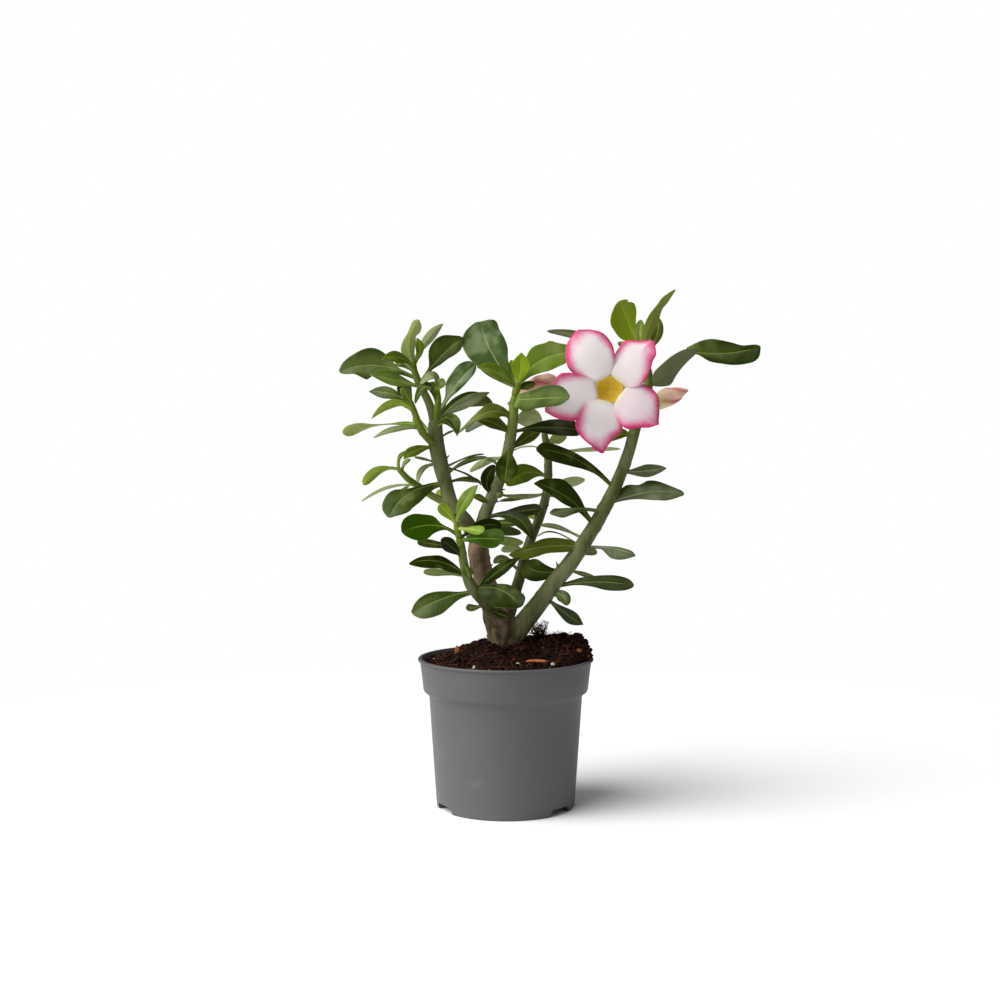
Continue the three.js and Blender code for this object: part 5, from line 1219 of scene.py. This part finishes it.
def add_petal(shape, direction, margins, blush_and_shade, rows):
    """One petal, from the flower's throat to its rounded end."""
    angle = math.radians(direction)
    out = (math.cos(angle), math.sin(angle))
    reach = rows[-1][0]
    curve = [Vector(row) for row in (PETAL_FOOT, *rows)]
    places = [2 * j / (PETAL_COLUMNS - 1) - 1 for j in range(PETAL_COLUMNS)]
    rings = []
    notes = []
    for i in range(PETAL_RINGS + len(PETAL_END)):
        beyond = max(0, i - PETAL_RINGS)
        narrower, further = PETAL_END[beyond]
        distance, left, right = spline(curve, min(1, i / PETAL_RINGS))
        middle = (left - right) / 2
        half = (left + right) / 2 * narrower
        distance += further
        front = []
        back = []
        ring_notes = []
        for place in places:
            width, margin = (left, margins[0]) if place > 0 else (right, margins[1])
            sideways = middle + place * half if beyond else place * width
            forward = petal_forward(distance / reach, distance, place, angle)
            centre = (out[0] * distance - out[1] * sideways, out[1] * distance + out[0] * sideways)
            thickness = PETAL_THICKNESS * blend(1, 0.4, abs(place) ** 2) / 2
            front.append(flower_point(centre[0], forward + thickness, centre[1]))
            back.append(flower_point(centre[0], forward - thickness, centre[1]))
            inwards = min((1 - abs(place)) * max(abs(width), 2), max(0, reach - distance) * 0.8 + 1.2)
            rim = rim_share(inwards, distance, reach, margin)
            ring_notes.append((rim, distance, place * 6, blush_and_shade * (1 - 0.4 * place)))
        rings.append(front + back[::-1])
        notes.append(ring_notes + ring_notes[::-1])
    shape.add_tube(rings, lambda i, j: notes[i][j])


def add_turned(shape, profile, reach_note=None):
    """A closed skin turned round the flower's axis, from a loop of (radius, forward)."""
    rings = []
    for angle in angles_round(FLOWER_SIDES):
        rings.append([flower_point(r * math.cos(angle), forward, r * math.sin(angle))
                      for r, forward in profile])

    def value_of(k, j):
        # Painted shade, darkest at the lower right, which the materials lay over the skin
        painted_shade = (1 + math.cos(math.tau * k / FLOWER_SIDES + 0.7)) / 2
        return 0.0, reach_note or profile[j][0], k * 36 / FLOWER_SIDES, painted_shade

    shape.add_wheel(rings, value_of)


def build_corolla():
    """The petals, the funnel behind them and the tube down to the stem."""
    petals = Shape("rim", "reach", "fan", "blush_and_shade")
    for petal in PETALS:
        add_petal(petals, *petal)
    depth = THROAT_DEPTH
    add_turned(petals, [
        (THROAT_RADIUS + 1.9, -5.1), (THROAT_RADIUS + 0.6, -7.2), (5.4, -depth - 1.2), (0.02, -depth - 1.7),
        (0.02, -depth - 0.5), (4.8, -depth - 0.1), (THROAT_RADIUS - 0.6, -7), (THROAT_RADIUS + 0.4, -5),
    ], 14)
    tube = Stem(FLOWER_TUBE)
    shares = [i / TUBE_RINGS for i in range(TUBE_RINGS + 1)]
    rings = [tube.ring(share, 32, lambda angle, share=share: tube.radius(share)) for share in shares]
    petals.add_tube(rings, lambda i, j: (0.25, 14, j * 0.5, 0.0))
    petals.build("flower_corolla", [petal_material()], "flower_petals")


def build_lining():
    """The yellow lining of the throat."""
    lining = Shape("rim", "reach", "fan", "blush_and_shade")
    depth = THROAT_DEPTH
    add_turned(lining, [
        (THROAT_RADIUS + 1.4, -4.9), (THROAT_RADIUS - 0.7, -6.4), (4.5, -depth + 0.6), (0.02, -depth + 0.2),
        (0.02, -depth + 1.6), (2.2, -depth + 1.7), (4.2, -depth + 2.3), (6.2, -depth + 3.9),
        (7.6, -5.4), (8.3, -4.6), (THROAT_RADIUS + 0.1, -4.35), (THROAT_RADIUS + 1.4, -4.5),
    ])
    lining.build("flower_lining", [throat_material()], "flower_throat")


def build_bud(name, node, rows, material, ripeness):
    """A furled bud whose overlapping petals wind round it towards the tip; a riper one shows less green."""
    bud = Stem(rows)

    def ridges(angle, share):
        return (angle + BUD_TURN * share) * BUD_RIDGES / math.tau

    def swell(angle, share):
        turn = ridges(angle, share)
        saw = turn - math.floor(turn)
        return bud.radius(share) * (1 + BUD_RIDGE_HEIGHT * smooth(share * 2) * (saw - 0.5) * 2)

    shares = [i / BUD_RINGS for i in range(BUD_RINGS + 1)]
    rings = [bud.ring(share, BUD_SIDES, lambda angle, share=share: swell(angle, share)) for share in shares]
    shape = Shape("along", "fan")
    shape.add_tube(rings, lambda i, j: (shares[i] * ripeness, ridges(math.tau * j / BUD_SIDES, shares[i])))
    shape.build(name, [material], node)


# Pot

def pot_profile():
    """The pot's section as (radius, level), with small rounds where plastic never has sharp corners."""
    collar_foot = POT_HEIGHT - COLLAR_HEIGHT
    body_top = collar_foot - SHOULDER_DROP
    middle = (COLLAR_FOOT_RADIUS + BODY_TOP_RADIUS) / 2
    lip_foot = POT_HEIGHT - LIP_HEIGHT
    ring_inside = FOOT_RADIUS - FOOT_RING_WIDTH
    foot = [(0.1, FLOOR_LEVEL), (ring_inside, FLOOR_LEVEL), (ring_inside, 0.5), (ring_inside + 0.5, 0),
            (FOOT_RADIUS - 0.6, 0), (FOOT_RADIUS, 0.6)]
    body = [(blend(FOOT_RADIUS, BODY_TOP_RADIUS, share), body_top * share) for share in (0.25, 0.5, 0.75)]
    shoulder = [(BODY_TOP_RADIUS, body_top), (BODY_TOP_RADIUS + 0.5, body_top + 1.2),
                (middle, collar_foot - 1.5), (COLLAR_FOOT_RADIUS - 0.5, collar_foot - 0.3),
                (COLLAR_FOOT_RADIUS, collar_foot + 0.9)]
    collar = [(blend(COLLAR_FOOT_RADIUS, COLLAR_TOP_RADIUS, 0.5), collar_foot + COLLAR_HEIGHT * 0.5),
              (COLLAR_TOP_RADIUS, lip_foot - 0.8), (COLLAR_TOP_RADIUS + 0.1, lip_foot - 0.35)]
    lip = [(LIP_RADIUS - 0.4, lip_foot - 0.1), (LIP_RADIUS, lip_foot + 0.3), (LIP_RADIUS, POT_HEIGHT - 0.5),
           (LIP_RADIUS - 0.5, POT_HEIGHT)]
    inside = [(COLLAR_TOP_RADIUS - WALL + 0.4, POT_HEIGHT), (COLLAR_TOP_RADIUS - WALL, POT_HEIGHT - 0.5),
              (COLLAR_FOOT_RADIUS - WALL, collar_foot + 1.4), (middle - WALL, collar_foot - 1),
              (BODY_TOP_RADIUS - WALL, body_top), (FOOT_RADIUS - WALL, FLOOR_LEVEL + WALL),
              (0.1, FLOOR_LEVEL + WALL)]
    return foot + body + shoulder + collar + lip + inside


def build_pot():
    """The pot turned from its section, with its notches and crisp corners."""
    shape = Shape()
    profile = pot_profile()
    rings = [[at_angle(radius, angle, level) for radius, level in profile]
             for angle in angles_round(POT_SIDES)]
    shape.add_wheel(rings, lambda k, j: ())
    pot = shape.build("pot_shell", [pot_material()], "pot")
    for degrees in NOTCH_ANGLES:
        cut_notch(pot, math.radians(degrees))
    pot.data.shade_smooth()
    pot.data.set_sharp_from_angle(angle=math.radians(CRISP_ANGLE))


def cut_notch(pot, angle):
    """Cuts one drain notch with rounded upper corners through the foot ring."""
    work = bmesh.new()
    bmesh.ops.create_cube(work, size=1)
    size = Matrix.Diagonal((NOTCH_DEPTH * MM, NOTCH_WIDTH * MM, NOTCH_HEIGHT * 2 * MM, 1))
    bmesh.ops.transform(work, matrix=size, verts=work.verts)
    upper = [edge for edge in work.edges if all(v.co.z > 0 for v in edge.verts)
             and abs(edge.verts[0].co.y - edge.verts[1].co.y) < 1e-6]
    bmesh.ops.bevel(work, geom=upper, offset=NOTCH_ROUND * MM, segments=4, affect="EDGES")
    mesh = bpy.data.meshes.new("notch")
    work.to_mesh(mesh)
    work.free()
    cutter = bpy.data.objects.new("notch", mesh)
    bpy.context.scene.collection.objects.link(cutter)
    place = Matrix.Translation(in_frame(at_angle(FOOT_RADIUS, angle)))
    cutter.matrix_world = place @ Matrix.Rotation(angle, 4, "Z")
    cut = pot.modifiers.new("notch", "BOOLEAN")
    cut.operation = "DIFFERENCE"
    cut.object = cutter
    cut.solver = "EXACT"
    bpy.context.view_layer.update()
    whole = bpy.data.meshes.new_from_object(pot.evaluated_get(bpy.context.evaluated_depsgraph_get()))
    pot.modifiers.clear()
    pot.data = whole
    bpy.data.objects.remove(cutter)


# Soil and what lies on it

def inner_radius(level):
    collar_foot = POT_HEIGHT - COLLAR_HEIGHT
    share = (level - collar_foot - 1.4) / (POT_HEIGHT - 0.5 - collar_foot - 1.4)
    return blend(COLLAR_FOOT_RADIUS, COLLAR_TOP_RADIUS, min(1, max(0, share))) - WALL


def soil_level(x, y):
    run = (HEAP_END[0] - HEAP_START[0], HEAP_END[1] - HEAP_START[1])
    offset = (x - HEAP_START[0], y - HEAP_START[1])
    share = min(1, max(0, (offset[0] * run[0] + offset[1] * run[1]) / (run[0] ** 2 + run[1] ** 2)))
    away = math.hypot(offset[0] - share * run[0], offset[1] - share * run[1])
    edge = smooth((60.5 - math.hypot(x, y)) / 8)
    reach = blend(HEAP_REACH_LEFT, HEAP_REACH_RIGHT, smooth((x + 30) / 40))
    heap = SOIL_HEAP * max(0, 1 - away / reach) * (0.4 + 0.6 * edge)
    behind = SOIL_BACK_RISE * smooth(y / 45) * smooth((x + 50) / 25)
    lumps = SOIL_LUMP * (math.sin(x * 0.9 + y * 0.4) + math.sin(y * 0.8 - x * 0.3))
    return SOIL_LEVEL + heap + behind + lumps


def build_soil(material):
    """The soil's crumbly surface, closed below by a skirt inside the pot."""
    edge = inner_radius(SOIL_LEVEL) - 0.3
    loops = []
    for i in range(SOIL_RINGS + 1):
        radius = max(0.2, edge * i / SOIL_RINGS)
        loop = []
        for angle in angles_round(SOIL_SIDES):
            x = radius * math.cos(angle)
            y = radius * math.sin(angle)
            place = Vector((x, y, 0))
            rise = 1.1 * noise.noise(place * 0.28) + 0.8 * noise.noise(place * 0.75) - 0.3
            loop.append(Vector((x, y, soil_level(x, y) + rise)))
        loops.append(loop)
    loops.append([Vector((p.x * 0.985, p.y * 0.985, SOIL_BOTTOM)) for p in loops[-1]])
    dice = random.Random(5)
    shape = Shape("tint")
    shape.add_tube(loops, lambda i, j: (dice.random() * 0.6,))
    shape.build("soil_bed", [material], "soil")


def build_crumbs(material):
    """Loose crumbs all over the soil, thicker at the right, some lying over the rim there."""
    shape = Shape("tint")
    dice = random.Random(11)
    for index in range(CRUMBS):
        radius = CRUMB_REACH * math.sqrt(dice.random())
        angle = dice.uniform(-math.pi, math.pi)
        if index % 6 == 0:
            radius = dice.uniform(*RIM_CRUMBS)
            angle = dice.uniform(*RIM_CRUMB_ANGLES)
        x = radius * math.cos(angle)
        y = radius * math.sin(angle)
        if math.hypot(x - TRUNK_CENTRE, y) < TRUNK_CLEARANCE:
            continue
        size = dice.uniform(0.7, 1.6) + (dice.uniform(0.6, 2.2) if dice.random() < 0.3 else 0)
        level = soil_level(x, y) + size * dice.uniform(0.05, 0.35)
        if radius > RIM_START:
            level = max(level, POT_HEIGHT + size * 0.4)
        form = Vector([size * dice.uniform(low, high) for low, high in CRUMB_FORM])
        turn = Matrix.Rotation(dice.uniform(0, 6.3), 3, "Z")
        tilt = Matrix.Rotation(dice.uniform(-0.6, 0.6), 3, "X")
        detail = 1 if size < COARSE_CRUMB else 2
        shape.add_lump(Vector((x, y, level)), form, turn @ tilt, index, dice.random(), detail)
    shape.build("soil_crumbs", [material])


def add_strand(shape, points, radius, tint, sides=5, steps=12):
    """One thin fibre through points."""
    rings = []
    for i in range(steps + 1):
        share = i / steps
        along = (spline(points, min(1, share + 0.02)) - spline(points, max(0, share - 0.02))).normalized()
        side = along.cross(Vector((0.3, 0.2, 1))).normalized()
        out = side.cross(along)
        centre = spline(points, share)
        thin = radius * (1 - 0.6 * share)
        rings.append([centre + side * thin * math.cos(angle) + out * thin * math.sin(angle)
                      for angle in angles_round(sides)])
    shape.add_tube(rings, lambda i, j: (tint,))


def build_fibres(material):
    """Coir strands and fine roots that lie on the soil."""
    shape = Shape("tint")
    dice = random.Random(23)
    for _ in range(FIBRES):
        radius = FIBRE_REACH * math.sqrt(dice.random())
        angle = dice.uniform(-math.pi, math.pi)
        heading = dice.uniform(0, math.tau)
        length = dice.uniform(4, 15)
        points = []
        x = radius * math.cos(angle)
        y = radius * math.sin(angle)
        for step in range(4):
            if math.hypot(x, y) > FIBRE_EDGE:
                break
            highest = FIBRE_LIFT if x < TALL_FROM else FIBRE_LIFT_RIGHT
            lift = 0.6 + highest * math.sin(step / 3 * math.pi) * dice.random()
            points.append(Vector((x, y, soil_level(x, y) + lift)))
            heading += dice.uniform(-0.8, 0.8)
            x += math.cos(heading) * length / 3
            y += math.sin(heading) * length / 3
        if len(points) > 2:
            add_strand(shape, points, dice.uniform(0.1, 0.26), dice.random())
    shape.build("soil_fibres", [material])


def curl_points(dice, centre):
    """Six points of a curl that winds round the tuft's middle and rises out of it."""
    start = dice.uniform(0, math.tau)
    turn = dice.uniform(1.2, 2.6) * dice.choice((-1, 1))
    reach = TUFT_RADIUS * dice.uniform(0.5, 1.15)
    rise = TUFT_RADIUS * dice.uniform(0.2, 1.5)
    points = []
    for step in range(6):
        share = step / 5
        angle = start + turn * share
        out = reach * math.sin(0.5 + 2.4 * share)
        up = rise * math.sin(share * 2.4) - 1.5 + dice.uniform(-0.6, 0.6)
        points.append(centre + Vector((out * math.cos(angle), out * math.sin(angle) * 0.8, up)))
    return points


def build_tuft(material):
    """A curled ball of coir beside the right stem."""
    shape = Shape("tint")
    dice = random.Random(31)
    centre = Vector((*TUFT_PLACE, soil_level(*TUFT_PLACE) + 3))
    for _ in range(TUFT_FIBRES):
        points = curl_points(dice, centre)
        add_strand(shape, points, dice.uniform(0.12, 0.28), 0.6 + dice.random() * 0.4, steps=18)
    for index in range(TUFT_LUMPS):
        offset = Vector((dice.gauss(0, 2.6), dice.gauss(0, 2.2), dice.uniform(-2.5, 3.2)))
        size = dice.uniform(0.8, 1.8)
        turn = Matrix.Rotation(dice.uniform(0, 6.3), 3, "Z")
        shape.add_lump(centre + offset, Vector((size, size * 0.8, size * 0.7)), turn, 900 + index, 0.4)
    shape.build("coir_tuft", [material], "fibre_tuft")


def build_loose_bit(name, node, material, seed):
    """A chip or grain with a broken surface, where the part has it."""
    low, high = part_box(node)
    centre = ((low + high) / 2 - POT_AXIS) / MM
    size = (high - low) / MM * 0.98
    shape = Shape("tint")
    shape.add_lump(centre, size * 1.05, Matrix.Identity(3), seed, 0.5, detail=3)
    shape.build(name, [material], node)


def build_ground():
    """The soil with all that lies on it."""
    peat = soil_material()
    coir = fibre_material()
    bark_chip = bark_chip_material()
    perlite = perlite_material()
    build_soil(peat)
    build_crumbs(peat)
    build_fibres(coir)
    build_tuft(coir)
    for seed, side in ((3, "left"), (4, "right")):
        build_loose_bit(f"chip_{side}", f"bark_chip_{side}", bark_chip, seed)
    for grain in range(1, 5):
        build_loose_bit(f"grain_{grain}", f"perlite_{grain}", perlite, 10 + grain)


# Room, light and camera

def build_floor():
    """A round pale floor, as bright as the backdrop, so that its edge doesn't show."""
    mesh = bpy.data.meshes.new("floor")
    sides = 64
    places = [(POT_AXIS.x + FLOOR_REACH * math.cos(angle), POT_AXIS.y + FLOOR_REACH * math.sin(angle), 0)
              for angle in angles_round(sides)]
    mesh.from_pydata(places, [], [tuple(range(sides))])
    mesh.materials.append(floor_material())
    floor = bpy.data.objects.new("floor", mesh)
    bpy.context.scene.collection.objects.link(floor)


def add_lamp(name, kind, place, power, **settings):
    """A lamp of a kind at a place, pointing at the middle of the plant."""
    light = bpy.data.lights.new(name, kind)
    light.energy = power
    for key, value in settings.items():
        setattr(light, key, value)
    lamp = bpy.data.objects.new(name, light)
    lamp.location = place
    lamp.rotation_mode = "QUATERNION"
    lamp.rotation_quaternion = (LIT_POINT - Vector(place)).to_track_quat("-Z", "Y")
    bpy.context.scene.collection.objects.link(lamp)


def build_room():
    """A white backdrop, a dim room for the light from all round and a dark one for reflections."""
    world = bpy.data.worlds.new("studio")
    world.use_nodes = True
    tree = world.node_tree
    rays = tree.nodes.new("ShaderNodeLightPath")
    whole = tree.nodes["Background"]
    whole.inputs["Color"].default_value = (1, 1, 1, 1)
    whole.inputs["Strength"].default_value = ROOM_LIGHT
    for ray, strength in (("Is Glossy Ray", ROOM_GLEAM), ("Is Camera Ray", 1)):
        shade = tree.nodes.new("ShaderNodeBackground")
        shade.inputs["Color"].default_value = (1, 1, 1, 1)
        shade.inputs["Strength"].default_value = strength
        choice = tree.nodes.new("ShaderNodeMixShader")
        tree.links.new(rays.outputs[ray], choice.inputs["Fac"])
        tree.links.new(whole.outputs[0], choice.inputs[1])
        tree.links.new(shade.outputs[0], choice.inputs[2])
        whole = choice
    tree.links.new(whole.outputs[0], tree.nodes["World Output"].inputs["Surface"])
    bpy.context.scene.world = world


def build_light():
    """Wide light from above, which reaches the whole floor, and a soft key from the left."""
    bpy.context.scene.view_settings.view_transform = "Standard"
    build_room()
    add_lamp("sky", "SUN", SKY_PLACE, SKY_LIGHT, angle=math.radians(SKY_WIDTH))
    add_lamp("key", "AREA", KEY_PLACE, KEY_POWER, shape="DISK", size=KEY_WIDTH)


def build_camera():
    data = bpy.data.cameras.new("camera")
    data.lens = EYE_LENS
    data.sensor_width = 36
    data.clip_end = 40
    camera = bpy.data.objects.new("camera", data)
    camera.location = in_frame(Vector((EYE_X, -EYE_DISTANCE, EYE_Z)))
    camera.rotation_euler = (math.radians(90 - EYE_PITCH), 0, 0)
    bpy.context.scene.collection.objects.link(camera)
    bpy.context.scene.camera = camera


build_pot()
build_ground()
build_trunk()
build_shoots()
build_corolla()
build_lining()
bud = bud_material()
build_bud("right_bud", "bud_right", BUD_RIGHT, bud, 1)
build_bud("left_bud", "bud_left", BUD_LEFT, bud, 2.2)
build_floor()
build_light()
build_camera()
bpy.context.view_layer.update()
